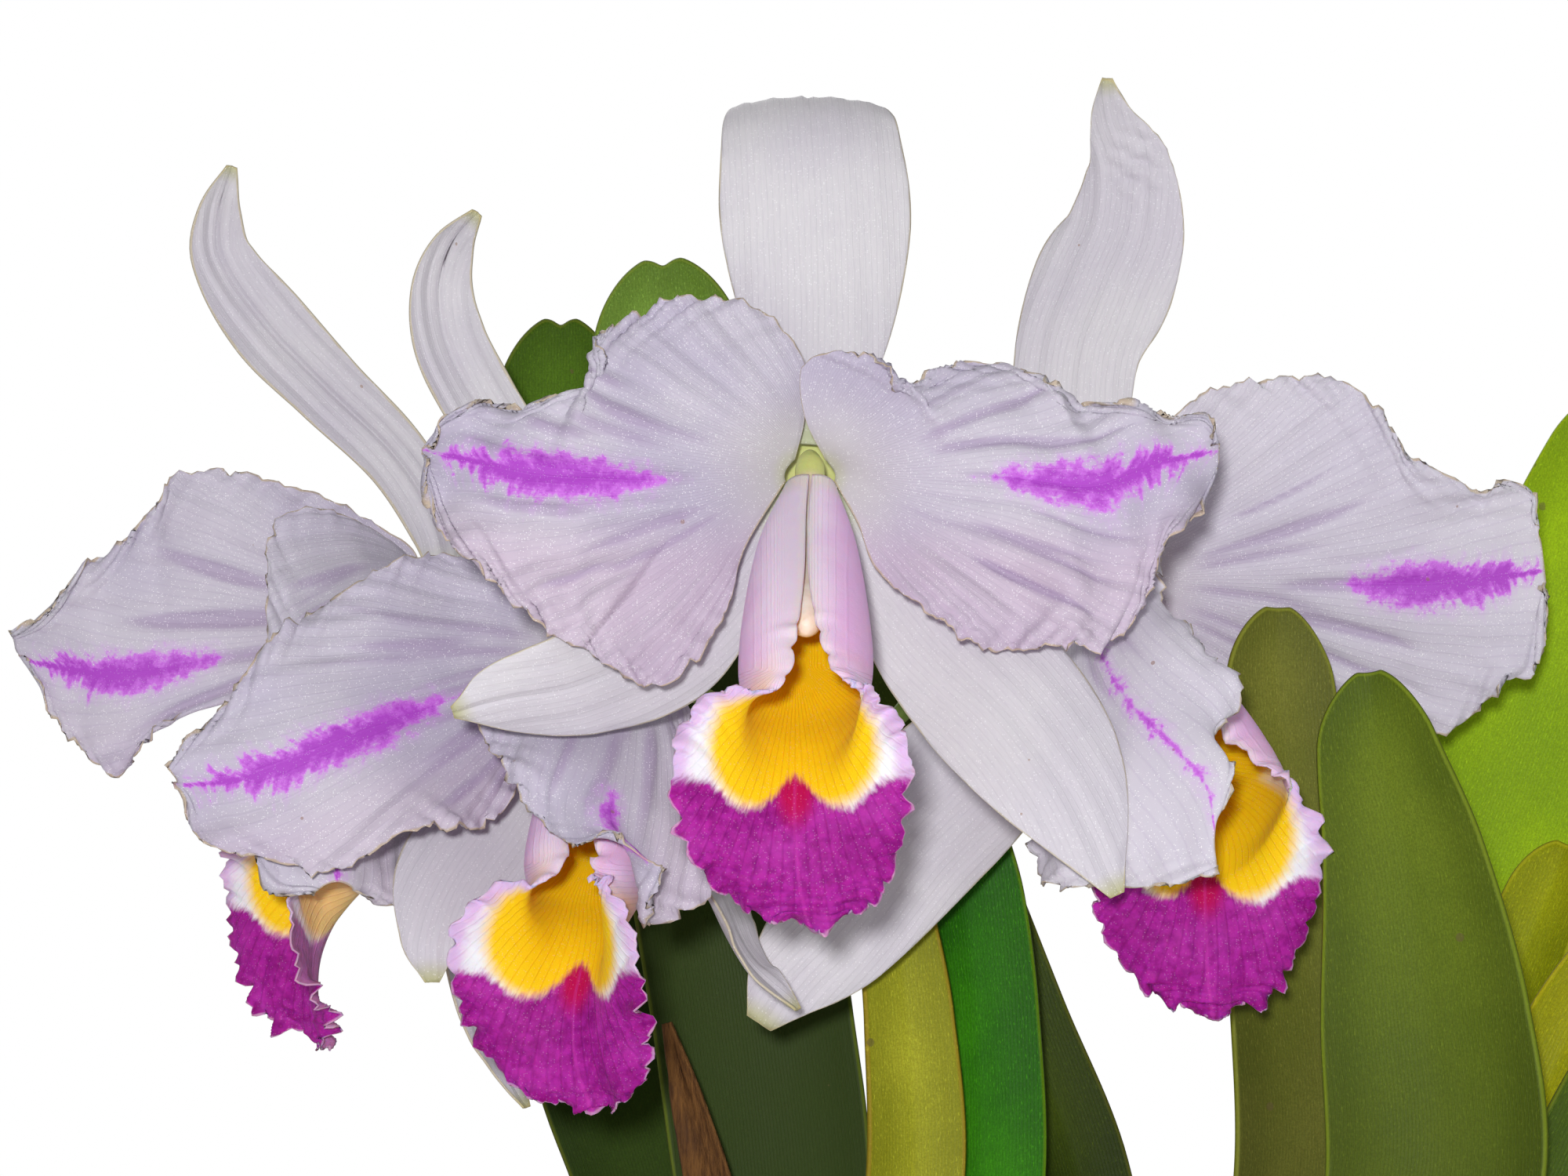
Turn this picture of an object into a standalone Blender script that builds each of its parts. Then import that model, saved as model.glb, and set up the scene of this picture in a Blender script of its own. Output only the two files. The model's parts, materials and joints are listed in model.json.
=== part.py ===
"""A cattleya orchid in flower, growing in a plain clay pot.

Metres, +Z up. The origin is the centre of the pot's flat base. The plant is laid out
from its photograph: a point is a column and a row of the picture with a depth, in
millimetres, behind the main bloom's centre. The picture looks along +Y.
"""
import math

import bmesh
import bpy
from mathutils import Matrix, Vector

# The picture's scale, from the main bloom's 165 mm spread of petals
BLOOM_SPREAD = 0.165
BLOOM_SPREAD_COLUMNS = 1015
PITCH = BLOOM_SPREAD / BLOOM_SPREAD_COLUMNS
PICTURE_CENTRE = (1000, 750)
EYE_DISTANCE = 0.800
EYE_HEIGHT = 0.420
MM = 0.001

# Thicknesses
PETAL_THICK = 0.0009
SEPAL_THICK = 0.0010
LIP_THICK = 0.0008
LEAF_THICK = 0.0018
SHEATH_THICK = 0.0008

# The pot and what fills it
POT_HEIGHT = 0.130
POT_BASE_RADIUS = 0.060
POT_TOP_RADIUS = 0.081
POT_RIM_RADIUS = 0.087
POT_RIM_HEIGHT = 0.024
POT_WALL = 0.006
POT_FLOOR = 0.008
DRAIN_RADIUS = 0.006
DRAIN_CIRCLE = 0.030
MEDIUM_TOP = 0.117
MEDIUM_SWELL = 0.004
GAP = 0.0004

# Colours, linear
PETAL_COLOUR = (0.66, 0.58, 0.70, 1)
SEPAL_COLOUR = (0.70, 0.66, 0.74, 1)
LIP_COLOUR = (0.42, 0.02, 0.36, 1)
COLUMN_COLOUR = (0.85, 0.72, 0.62, 1)
STEM_COLOUR = (0.22, 0.32, 0.06, 1)
LEAF_COLOUR = (0.10, 0.20, 0.02, 1)
YOUNG_LEAF_COLOUR = (0.22, 0.40, 0.02, 1)
YELLOW_LEAF_COLOUR = (0.34, 0.34, 0.02, 1)
BULB_COLOUR = (0.20, 0.28, 0.06, 1)
RHIZOME_COLOUR = (0.18, 0.12, 0.05, 1)
SHEATH_COLOUR = (0.22, 0.12, 0.06, 1)
BARK_COLOUR = (0.10, 0.05, 0.03, 1)
POT_COLOUR = (0.45, 0.16, 0.08, 1)

# Bloom centres: column, row, depth
MAIN_CENTRE = (1033, 600, 0)
RIGHT_CENTRE = (1400, 740, 55)
LOW_CENTRE = (790, 840, 45)
FAR_CENTRE = (572, 800, 80)

# How each lip is turned from the main one's, in degrees: the yaw and roll of the whole lip,
# its size, and then its front lobe's roll, yaw and fold at the mouth
LIP_TURNS = {
    "main": (MAIN_CENTRE, 0, 0, 1.0, 0, 0, 0),
    "right": (RIGHT_CENTRE, 11, -19, 1.03, 23, -6, -8),
    "low": (LOW_CENTRE, -6, -1, 1.02, -2, -18, 12),
    "far": (FAR_CENTRE, -26, 0, 1.0, 0, -34, 20),
}

# The lip's sections from its base to its front edge. Each has the floor's middle, the
# left and right margins, and how far its sides swell next to the floor and the margins
LIP_SECTIONS = [
    ((1033, 640, 1.7), (1032, 606, -9.5), (1036, 606, -9.5), 6.3, 6.3),
    ((1030, 735, -7), (1028, 657, -21), (1031, 657, -21), 12.5, 12.5),
    ((1028, 826, -17), (1026, 730, -36), (1031, 730, -36), 15.5, 16),
    ((1025, 905, -28), (1016, 806, -48), (1044, 806, -48), 16, 15.5),
    ((1018, 955, -38), (996, 872, -56), (1070, 866, -56), 14, 9),
    ((1014, 1005, -45), (912, 886, -56), (1114, 882, -56), 13, -3),
    ((1014, 1060, -49), (864, 945, -55), (1156, 942, -55), 13, -7),
    ((1018, 1115, -50), (864, 1045, -53), (1154, 1048, -53), 13, -7),
    ((1026, 1156, -49), (898, 1115, -50), (1134, 1118, -50), 10, -5),
    ((1034, 1182, -47), (950, 1162, -48), (1108, 1158, -48), 6, -3),
]
LIP_LOBE_START = 0.36
LIP_LOBE_RUN = 0.2
LIP_RIM_START = 0.55
LIP_MOUTH = (1025, 880, -45)
LIP_FRILL = 0.0026
LIP_KEEL = 0.3

# The column inside the lip's tube: its line and its radii in millimetres
COLUMN_LINE = [(1033, 577, 6.5), (1033, 590, 1.5), (1033, 618, -5), (1032, 660, -14),
               (1029, 740, -28), (1028, 808, -41)]
COLUMN_RADII = [0.8, 3.0, 2.8, 2.6, 2.6, 2.8, 3.3, 3.7, 2.2]

# Petals: upper margin, midrib and lower margin, each from the claw to the tip
PETALS = {
    "main.petal_left": (
        [(1014, 586, 3), (1026, 535, 4), (1027, 468, 4), (985, 402, 4), (930, 378, 5),
         (870, 385, 6),
         (800, 405, 6), (765, 430, 3), (772, 458, 0), (762, 490, 3), (720, 500, 0),
         (670, 518, -3), (635, 512, 0), (600, 515, -3), (560, 540, 0), (541, 565, -2)],
        [(1002, 600, 2), (900, 612, -4), (800, 614, -6), (700, 608, -7), (600, 590, -4),
         (538, 575, 0)],
        [(1002, 614, 1), (950, 700, -4), (925, 780, -8), (880, 850, -13),
         (830, 877, -14), (775, 850, -15), (740, 822, -13), (700, 800, -16),
         (650, 765, -12), (600, 720, -13), (565, 680, -9), (545, 620, -6),
         (539, 585, -3)],
    ),
    "main.petal_right": (
        [(1052, 586, 0), (1026, 530, -5), (1024, 466, -6), (1070, 445, -8), (1110, 460, -10),
         (1140, 487, -12), (1200, 471, -2), (1290, 468, 2), (1340, 490, -4),
         (1370, 515, 0), (1450, 513, -6), (1490, 530, -2), (1540, 528, -5),
         (1553, 560, -3)],
        [(1064, 600, 1), (1160, 608, -4), (1280, 610, -8), (1400, 618, -9),
         (1480, 590, -6), (1555, 575, -2)],
        [(1064, 614, 0), (1095, 670, -4), (1115, 720, -8), (1165, 770, -12),
         (1240, 820, -14), (1290, 830, -12), (1370, 822, -16), (1400, 830, -13),
         (1455, 782, -12), (1472, 735, -9), (1500, 680, -9), (1535, 645, -3),
         (1553, 600, -2)],
    ),
    "right.petal_right": (
        [(1432, 724, 56), (1440, 640, 52), (1475, 560, 48), (1510, 520, 46),
         (1550, 495, 44), (1620, 483, 44), (1700, 483, 42), (1765, 530, 40),
         (1790, 570, 42), (1840, 600, 40), (1895, 630, 42), (1912, 615, 40),
         (1955, 625, 44), (1963, 660, 44)],
        [(1436, 738, 56), (1550, 742, 53), (1680, 745, 50), (1820, 745, 48),
         (1970, 725, 48)],
        [(1432, 750, 57), (1490, 830, 60), (1560, 885, 60), (1640, 930, 61),
         (1730, 950, 60), (1800, 915, 56), (1838, 936, 54), (1880, 910, 53),
         (1920, 870, 50), (1955, 860, 49), (1972, 800, 48), (1972, 745, 48)],
    ),
    "right.petal_left": (
        [(1412, 704, 58), (1440, 690, 44), (1478, 688, 28), (1482, 760, 12),
         (1510, 785, 4), (1540, 855, -5), (1585, 872, -9), (1580, 905, -12),
         (1557, 940, -16), (1572, 975, -20), (1562, 1030, -22)],
        [(1400, 706, 58), (1394, 735, 36), (1405, 830, 6), (1445, 900, -7),
         (1500, 955, -16), (1540, 1005, -21), (1550, 1060, -23)],
        [(1386, 716, 58), (1350, 780, 40), (1325, 860, 26), (1310, 960, 18),
         (1308, 1050, 9), (1320, 1110, 2), (1345, 1131, -9), (1400, 1131, -14),
         (1460, 1132, -18), (1510, 1125, -21), (1555, 1110, -23)],
    ),
    "low.petal_left": (
        [(764, 822, 46), (700, 740, 44), (640, 712, 42), (575, 705, 40), (520, 710, 36),
         (450, 745, 30), (390, 785, 26), (335, 830, 20), (290, 890, 14), (240, 940, 12),
         (214, 978, 12)],
        [(760, 838, 46), (650, 865, 36), (540, 905, 24), (430, 945, 13), (320, 985, 10),
         (225, 995, 12)],
        [(762, 850, 47), (715, 890, 46), (675, 960, 36), (645, 1030, 22),
         (600, 1055, 14), (520, 1065, 8), (460, 1095, 5), (410, 1112, 4), (340, 1095, 6),
         (280, 1085, 6), (245, 1060, 8), (235, 1020, 10), (222, 1000, 12)],
    ),
    "low.petal_right": (
        [(800, 806, 48), (740, 826, 34), (670, 860, 20), (612, 915, 8), (640, 975, 0),
         (690, 1050, -8), (740, 1080, -14), (790, 1065, -20)],
        [(812, 812, 48), (802, 856, 28), (795, 920, 12), (785, 990, -2),
         (778, 1050, -12), (815, 1090, -20)],
        [(822, 822, 48), (858, 880, 34), (885, 940, 22), (900, 1000, 12), (912, 1080, 4),
         (910, 1135, -2), (870, 1165, -8), (835, 1175, -16), (845, 1110, -22)],
    ),
    "far.petal_left": (
        [(546, 786, 84), (530, 705, 82), (480, 670, 78), (420, 635, 76), (345, 612, 74),
         (280, 600, 74), (215, 610, 72), (188, 655, 70), (130, 713, 72), (105, 722, 70),
         (68, 768, 74), (16, 814, 80)],
        [(542, 800, 84), (400, 820, 80), (275, 840, 75), (150, 855, 75), (20, 828, 84)],
        [(546, 814, 84), (460, 880, 80), (360, 890, 77), (280, 895, 75), (210, 920, 73),
         (168, 962, 74), (147, 992, 72), (90, 938, 74), (55, 890, 76), (28, 842, 82)],
    ),
    "far.petal_right": (
        [(562, 762, 84), (500, 690, 68), (420, 652, 58), (365, 655, 52), (343, 690, 46),
         (342, 800, 38), (345, 900, 29), (335, 1000, 20), (330, 1100, 13),
         (345, 1140, 11), (400, 1140, 11)],
        [(574, 766, 84), (530, 780, 60), (475, 850, 39), (440, 940, 29),
         (430, 1040, 19), (430, 1125, 12)],
        [(588, 774, 84), (600, 840, 55), (566, 950, 43), (532, 1040, 35),
         (518, 1110, 32), (505, 1155, 26), (460, 1140, 17)],
    ),
}

# Sepals: midrib, half widths in millimetres, the way the face looks at the base and at
# the tip, and how far the middle stands behind the margins
SEPALS = {
    "main.sepal_dorsal": (
        [(1034, 568, 8), (1044, 450, 15), (1041, 300, 18), (1035, 190, 22),
         (1030, 139, 32), (1030, 150, 50)],
        [4.2, 13.9, 20, 19.3, 16.4, 3], (0, -1, 0), (0, -0.3, 1), -2.5),
    "main.sepal_right": (
        [(1062, 626, 7), (1120, 715, 6), (1195, 815, 1), (1285, 905, -8),
         (1360, 1010, -16), (1425, 1142, -20)],
        [3, 9, 14, 17, 13.5, 1.6], (0, -1, 0), (0.2, -1, 0.2), -2.5),
    "main.sepal_left": (
        [(1004, 626, 7), (930, 735, 5), (850, 815, 0), (740, 868, -7), (640, 888, -11),
         (577, 908, -12)],
        [3, 9, 14, 12, 8, 1.4], (0, -1, 0), (-0.2, -0.8, -0.5), -2),
    "right.sepal_dorsal": (
        [(1388, 700, 62), (1368, 560, 62), (1374, 450, 64), (1408, 360, 66),
         (1436, 290, 66), (1440, 210, 64), (1420, 150, 60), (1412, 100, 54)],
        [3, 12, 14, 16, 13.5, 9.6, 5.2, 1.2], (0, -1, 0), (-0.4, -1, 0), -2),
    "right.sepal_left": (
        [(1380, 768, 61), (1330, 880, 50), (1250, 975, 40), (1160, 1065, 32),
         (1065, 1185, 26), (1005, 1250, 25), (968, 1305, 25)],
        [3, 12, 16.5, 17.5, 14, 9.5, 3], (0, -1, 0), (0, -1, 0), -2.5),
    "right.sepal_right": (
        [(1420, 770, 64), (1490, 880, 70), (1570, 980, 71), (1640, 1080, 70),
         (1690, 1190, 68)],
        [3, 12, 16, 13, 1.8], (0, -1, 0), (0, -1, 0), -2),
    "low.sepal_dorsal": (
        [(776, 806, 53), (700, 660, 60), (617, 520, 68), (576, 440, 70), (564, 370, 72),
         (578, 315, 70), (608, 272, 66)],
        [3, 8.5, 8.5, 8.4, 7, 4.8, 1.2], (0, -1, 0), (0.3, -1, 0), 4),
    "low.sepal_left": (
        [(764, 862, 53), (700, 950, 51), (640, 1040, 39), (577, 1130, 26),
         (551, 1200, 19), (551, 1253, 18)],
        [3, 10, 13, 13, 7, 1.5], (0, -1, 0), (0, -1, 0), -2),
    "low.sepal_right": (
        [(808, 862, 53), (850, 950, 51), (895, 1050, 40), (930, 1150, 20),
         (965, 1225, 8), (1018, 1287, 4)],
        [3, 9, 11, 10, 7, 1.4], (0.3, -1, 0), (0.9, -0.4, 0), 3),
    "far.sepal_dorsal": (
        [(572, 756, 88), (560, 676, 92), (507, 585, 96), (417, 494, 98), (342, 414, 100),
         (283, 327, 102), (280, 270, 100), (296, 213, 96)],
        [3, 6.5, 7.6, 8.6, 9.5, 7.2, 5, 1.2], (0, -1, 0), (0.3, -1, 0), 4),
    "far.sepal_left": (
        [(548, 826, 88), (500, 890, 92), (450, 960, 98), (420, 1020, 108),
         (400, 1070, 120)],
        [3, 11, 14, 11, 1.6], (0, -1, 0), (0, -1, -0.5), -2),
    "far.sepal_right": (
        [(592, 826, 88), (612, 950, 86), (613, 1100, 80), (606, 1220, 72),
         (625, 1320, 66), (672, 1412, 60)],
        [3, 10, 12, 8, 5.5, 1.2], (0, -1, 0), (0.7, -0.7, 0), 2.5),
}

# Leaves: midrib, half widths, facing, channel depth and the notch in the tip
LEAVES = {
    "leaf_front_right": (
        [(1640, 2016, -8), (1760, 1750, -14), (1829, 1500, -13), (1817, 1300, -7),
         (1790, 1100, 0), (1755, 950, 7), (1746, 858, 12)],
        [4.5, 16, 22, 21.5, 17, 12.5, 9], (-0.3, -1, 0), 5, 0.0, "leaf"),
    "leaf_front_left": (
        [(1500, 1996, 30), (1610, 1750, 34), (1698, 1500, 38), (1674, 1200, 40),
         (1645, 1000, 42), (1632, 860, 43), (1630, 776, 45)],
        [4.5, 16, 22, 19, 14, 12, 10], (0.2, -1, 0), 5, 0.0, "leaf"),
    "leaf_right_edge": (
        [(1560, 1956, 66), (1660, 1750, 70), (1740, 1500, 74), (1880, 1180, 80),
         (1972, 940, 84), (2068, 680, 88), (2130, 480, 92)],
        [4.5, 18, 25, 26, 27, 25, 17], (-0.2, -1, 0.1), 4, 0.0, "young"),
    "leaf_low_right_upper": (
        [(1640, 1990, 46), (1790, 1700, 48), (1880, 1400, 50), (1940, 1220, 50),
         (1998, 1078, 52)],
        [4.5, 10, 11, 9.5, 8], (-0.4, -1, 0.2), 3, 0.0, "yellow"),
    "leaf_low_right_middle": (
        [(1716, 2000, 14), (1830, 1720, 16), (1930, 1480, 18), (2010, 1300, 20),
         (2110, 1150, 24)],
        [4.5, 10, 10, 9.5, 7], (-0.4, -1, 0.2), 3, 0.0, "yellow"),
    "leaf_low_right_lower": (
        [(1732, 2008, 6), (1860, 1780, -2), (1985, 1560, 0), (2060, 1400, 2),
         (2150, 1230, 6)],
        [4.5, 10, 12, 11, 8], (-0.4, -1, 0.2), 3, 0.0, "leaf"),
    "leaf_middle_right": (
        [(1180, 1996, 30), (1230, 1750, 36), (1254, 1500, 42), (1250, 1300, 46),
         (1235, 1150, 50), (1222, 1060, 52), (1214, 970, 54)],
        [4.5, 12, 14.5, 13.7, 13, 11, 8], (0.3, -1, 0), 4, 0.0, "young"),
    "leaf_middle_front": (
        [(1060, 2006, 10), (1125, 1750, 24), (1168, 1500, 33), (1160, 1300, 37),
         (1145, 1180, 40), (1132, 1070, 44)],
        [4.5, 9.5, 10.8, 9.8, 8.5, 6], (0.2, -1, 0), 3, 0.0, "yellow"),
    "leaf_middle_dark": (
        [(1400, 1996, 64), (1420, 1750, 66), (1379, 1500, 68), (1311, 1300, 72),
         (1258, 1150, 76), (1205, 1020, 80), (1150, 890, 84),
         (1112, 780, 88)],
        [4.5, 11, 11.5, 9.5, 8.5, 8.5, 8, 6], (0.3, -1, 0), 3, 0.0, "leaf"),
    "leaf_tall_right": (
        [(1010, 1986, 50), (1000, 1750, 60), (985, 1500, 68), (960, 1300, 74),
         (930, 1100, 80), (905, 900, 84), (880, 700, 88), (858, 500, 92),
         (845, 332, 94)],
        [4.5, 16, 22, 22.6, 23, 22, 20, 18.5, 16], (0, -1, 0), 4, 0.014, "young"),
    "leaf_tall_left": (
        [(900, 1986, 62), (885, 1750, 78), (843, 1500, 92), (796, 1350, 100),
         (765, 1150, 106), (740, 900, 112), (725, 700, 114), (715, 550, 116),
         (715, 408, 118)],
        [4.5, 17, 20, 21, 21, 20, 18, 16, 14], (0, -1, 0), 4, 0.014, "leaf"),
}

LEAF_TIP = 0.075

# Pseudobulbs: foot in the medium (x, y in millimetres) and the leaf base they carry
BULBS = {
    "pseudobulb_1": ((44, -22), (1640, 2023, -8)),
    "pseudobulb_2": ((31, 13), (1500, 2003, 30)),
    "pseudobulb_3": ((40, 40), (1560, 1963, 66)),
    "pseudobulb_4": ((52, 26), (1640, 1997, 46)),
    "pseudobulb_5": ((54, 2), (1722, 2013, 10)),
    "pseudobulb_6": ((12, 22), (1180, 2003, 30)),
    "pseudobulb_7": ((2, -4), (1062, 2013, 14)),
    "pseudobulb_8": ((11, 57), (1400, 2003, 64)),
    "pseudobulb_9": ((-8, 38), (1010, 1993, 50)),
    "pseudobulb_10": ((-32, 48), (900, 1993, 62)),
}
BULB_RADII = [0.5, 6.4, 8.4, 9.6, 9.9, 9.6, 8.8, 7.4, 6.0, 5.0]
BULB_RIBS = 6
BULB_RIB_DEPTH = 0.05

# Flower stalk and pedicels: line and radii in millimetres
STALKS = {
    "peduncle": (
        [(1067, 1996, 19), (1110, 1750, 42), (1135, 1500, 56), (1125, 1300, 60),
         (1095, 1100, 60), (1070, 975, 58)],
        [0.5, 3.4, 3.2, 3.0, 3.0, 3.4, 3.8, 0.5]),
    "pedicel_main": (
        [(1068, 938, 57), (1062, 850, 54), (1050, 740, 43), (1038, 650, 27),
         (1033, 606, 18), (1033, 600, 10.8)],
        [0.5, 2.2, 2.0, 2.2, 2.7, 3.6, 7.2]),
    "pedicel_right": (
        [(1112, 950, 60), (1180, 880, 66), (1290, 800, 70), (1370, 752, 68),
         (1400, 741, 62)],
        [0.5, 2.2, 2.0, 2.2, 2.7, 3.0, 0.5]),
    "pedicel_low": (
        [(1028, 950, 58), (980, 930, 62), (900, 890, 64), (830, 850, 60),
         (792, 841, 52)],
        [0.5, 2.2, 2.0, 2.2, 2.7, 3.0, 0.5]),
    "pedicel_far": (
        [(1040, 985, 66), (950, 965, 68), (850, 930, 70), (745, 880, 77),
         (650, 825, 88), (576, 801, 90)],
        [0.5, 2.2, 2.0, 2.2, 2.7, 3.0, 0.5]),
}
RHIZOME_LINE = [(-46, 30), (-22, 26), (-4, 14), (14, 5), (28, -4), (38, -8)]
RHIZOME_RADIUS = 4.0
SHEATH_LINE = [(985, 1996, 42), (950, 1750, 50), (905, 1520, 56), (875, 1400, 58),
               (850, 1305, 60)]
SHEATH_WIDTHS = [3.5, 6.5, 5.5, 3.6, 1.0]


def clear_scene():
    for old in list(bpy.data.objects):
        bpy.data.objects.remove(old, do_unlink=True)


def seen(place):
    """Metres for a photograph column and row at a depth in millimetres."""
    column, row, depth = place
    y = depth * MM
    spread = PITCH * (EYE_DISTANCE + y) / EYE_DISTANCE
    x = (column - PICTURE_CENTRE[0]) * spread
    z = EYE_HEIGHT - (row - PICTURE_CENTRE[1]) * spread
    return Vector((x, y, z))


def chords(points):
    lengths = [0.0]
    for a, b in zip(points, points[1:]):
        lengths.append(lengths[-1] + (b - a).length)
    return [d / lengths[-1] for d in lengths]


def along(points, knots, t):
    """A smooth curve through vectors or numbers, read at t from 0 to 1."""
    last = len(points) - 1
    t = min(max(t, 0.0), 1.0)
    i = 0
    while i < last - 1 and t > knots[i + 1]:
        i += 1
    span = knots[i + 1] - knots[i]
    s = (t - knots[i]) / span

    def slope(k):
        a = max(k - 1, 0)
        b = min(k + 1, last)
        return (points[b] - points[a]) * (span / (knots[b] - knots[a]))

    s2 = s * s
    s3 = s2 * s
    return (points[i] * (2 * s3 - 3 * s2 + 1) + slope(i) * (s3 - 2 * s2 + s)
            + points[i + 1] * (3 * s2 - 2 * s3) + slope(i + 1) * (s3 - s2))


def even(count):
    return [k / (count - 1) for k in range(count)]


class Line:
    """A smooth line through points, with an even pace along it."""

    def __init__(self, points):
        self.points = points
        self.knots = chords(points)

    def at(self, t):
        return along(self.points, self.knots, t)

    def heading(self, t):
        step = 0.01
        return (self.at(min(t + step, 1)) - self.at(max(t - step, 0))).normalized()


def spread_between(upper, middle, lower, v):
    """A parabola through the three lines' points at one station."""
    return middle + (upper - lower) * (v / 2) + ((upper + lower) / 2 - middle) * (v * v)


def normal_of(surface, u, v):
    step = 0.01
    du = surface(min(u + step, 1), v) - surface(max(u - step, 0), v)
    dv = surface(u, min(v + step, 1)) - surface(u, max(v - step, -1))
    n = du.cross(dv)
    return n.normalized() if n.length > 0 else Vector((0, -1, 0))


def waves(t, v, count, seed):
    """Soft ruffles that grow towards the margins and differ on the two sides."""
    side = 1.7 if v > 0 else 0.0
    a = math.sin(2 * math.pi * count * t + seed + side)
    b = math.sin(2 * math.pi * (count * 0.61) * t + 2.1 * seed + 2 * side)
    rise = min(1.0, max(0.0, (t - 0.08) / 0.25))
    return (0.65 * a + 0.35 * b) * abs(v) ** 2.2 * rise


def petal_surface(spec, count, height, seed):
    upper, middle, lower = [Line([seen(p) for p in row]) for row in spec]

    def base(u, v):
        return spread_between(upper.at(u), middle.at(u), lower.at(u), v)

    def surface(u, v):
        return base(u, v) + normal_of(base, u, v) * (height * waves(u, v, count, seed))

    return surface


def blade_surface(spec, notch=0.0, tip=0.0):
    """A strap or a sepal: its width runs along a list, and its tip may be rounded."""
    places, widths, face_start, face_end, cup = spec
    middle = Line([seen(p) for p in places])
    start = Vector(face_start)
    end = Vector(face_end)

    def surface(u, v):
        if tip:
            u = 1 - (1 - u) ** 1.5
        round_off = max(0.0, (u - 1 + tip) / tip) if tip else 0.0
        reach = u * (1 - notch * (1 - abs(v)) ** 4 * u ** 12)
        centre = middle.at(reach)
        look = start.lerp(end, u).normalized()
        side = middle.heading(u).cross(look).normalized()
        look = side.cross(middle.heading(u)).normalized()
        half = max(along(widths, middle.knots, u), 0.3) * MM
        half *= math.sqrt(1 - 0.93 * round_off * round_off)
        bend = cup * MM * (half / (max(widths) * MM)) * (1 - v * v)
        return centre + side * (half * v) - look * bend

    return surface


def lip_frame(bloom):
    centre, yaw, roll, size = LIP_TURNS[bloom][:4]
    turn = (Matrix.Rotation(math.radians(yaw), 4, "Z")
            @ Matrix.Rotation(math.radians(roll), 4, "Y"))
    home = Matrix.Translation(-seen(MAIN_CENTRE))
    return Matrix.Translation(seen(centre)) @ turn @ Matrix.Scale(size, 4) @ home


def lip_surface(bloom, seed):
    floors = [seen(s[0]) for s in LIP_SECTIONS]
    lefts = [seen(s[1]) for s in LIP_SECTIONS]
    rights = [seen(s[2]) for s in LIP_SECTIONS]
    floor_swell = [s[3] for s in LIP_SECTIONS]
    edge_swell = [s[4] for s in LIP_SECTIONS]
    knots = even(len(LIP_SECTIONS))
    place = lip_frame(bloom)
    roll, yaw, fold = [math.radians(a) for a in LIP_TURNS[bloom][4:]]
    mouth = seen(LIP_MOUTH)
    across = Vector((1, 0, 0))

    def base(u, v):
        floor = along(floors, knots, u)
        edge = along(rights if v >= 0 else lefts, knots, u)
        side = across if v >= 0 else -across
        p1 = floor + side * (along(floor_swell, knots, u) * MM)
        p2 = edge + side * (along(edge_swell, knots, u) * MM)
        s = abs(v)
        r = 1 - s
        return floor * r ** 3 + p1 * 3 * r * r * s + p2 * 3 * r * s * s + edge * s ** 3

    def surface(u, v):
        lobe = min(1.0, max(0.0, (u - LIP_LOBE_START) / LIP_LOBE_RUN))
        rim = max(abs(v), (u - LIP_RIM_START) / (1 - LIP_RIM_START)) ** 4
        angle = math.atan2(v, (u - 0.6) * 2.2)
        frill = math.sin(9 * angle + seed) * 0.7 + math.sin(5 * angle + 2 * seed) * 0.3
        p = base(u, v) + normal_of(base, u, v) * (frill * rim * lobe * LIP_FRILL)
        floor = along(floors, knots, u)
        shut = -fold * lobe * max(-1, min(1, v / LIP_KEEL))
        p = floor + Matrix.Rotation(shut, 3, "Z") @ (p - floor)
        swing = Matrix.Rotation(roll * lobe, 3, "Y") @ Matrix.Rotation(yaw * lobe, 3, "Z")
        return place @ (mouth + swing @ (p - mouth))

    return surface


def paint(obj, colour, rough):
    mat = bpy.data.materials.new(obj.name + "_finish")
    mat.use_nodes = True
    shader = mat.node_tree.nodes["Principled BSDF"]
    shader.inputs["Base Color"].default_value = colour
    shader.inputs["Roughness"].default_value = rough
    shader.inputs["Metallic"].default_value = 0.0
    obj.data.materials.append(mat)


def new_object(name, bm, colour, rough):
    mesh = bpy.data.meshes.new(name)
    bm.to_mesh(mesh)
    bm.free()
    mesh.shade_smooth()
    obj = bpy.data.objects.new(name, mesh)
    PLANT.objects.link(obj)
    paint(obj, colour, rough)
    return obj


def sheet(name, surface, rows, columns, thick, colour, rough=0.5):
    """A grid laid on a surface, split into triangles and given its thickness."""
    bm = bmesh.new()
    bmesh.ops.create_grid(bm, x_segments=rows, y_segments=columns, size=0.5)
    for vert in bm.verts:
        vert.co = surface(vert.co.x + 0.5, 2 * vert.co.y)
    bmesh.ops.triangulate(bm, faces=bm.faces)
    obj = new_object(name, bm, colour, rough)
    solid = obj.modifiers.new("thickness", "SOLIDIFY")
    solid.thickness = thick
    solid.offset = 0
    return obj


def carried_sides(line, stations):
    """Sideways directions carried along a line without twisting."""
    side = line.heading(0).orthogonal().normalized()
    sides = []
    for k in range(stations + 1):
        heading = line.heading(k / stations)
        side = (side - heading * side.dot(heading)).normalized()
        sides.append(side)
    return sides


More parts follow.
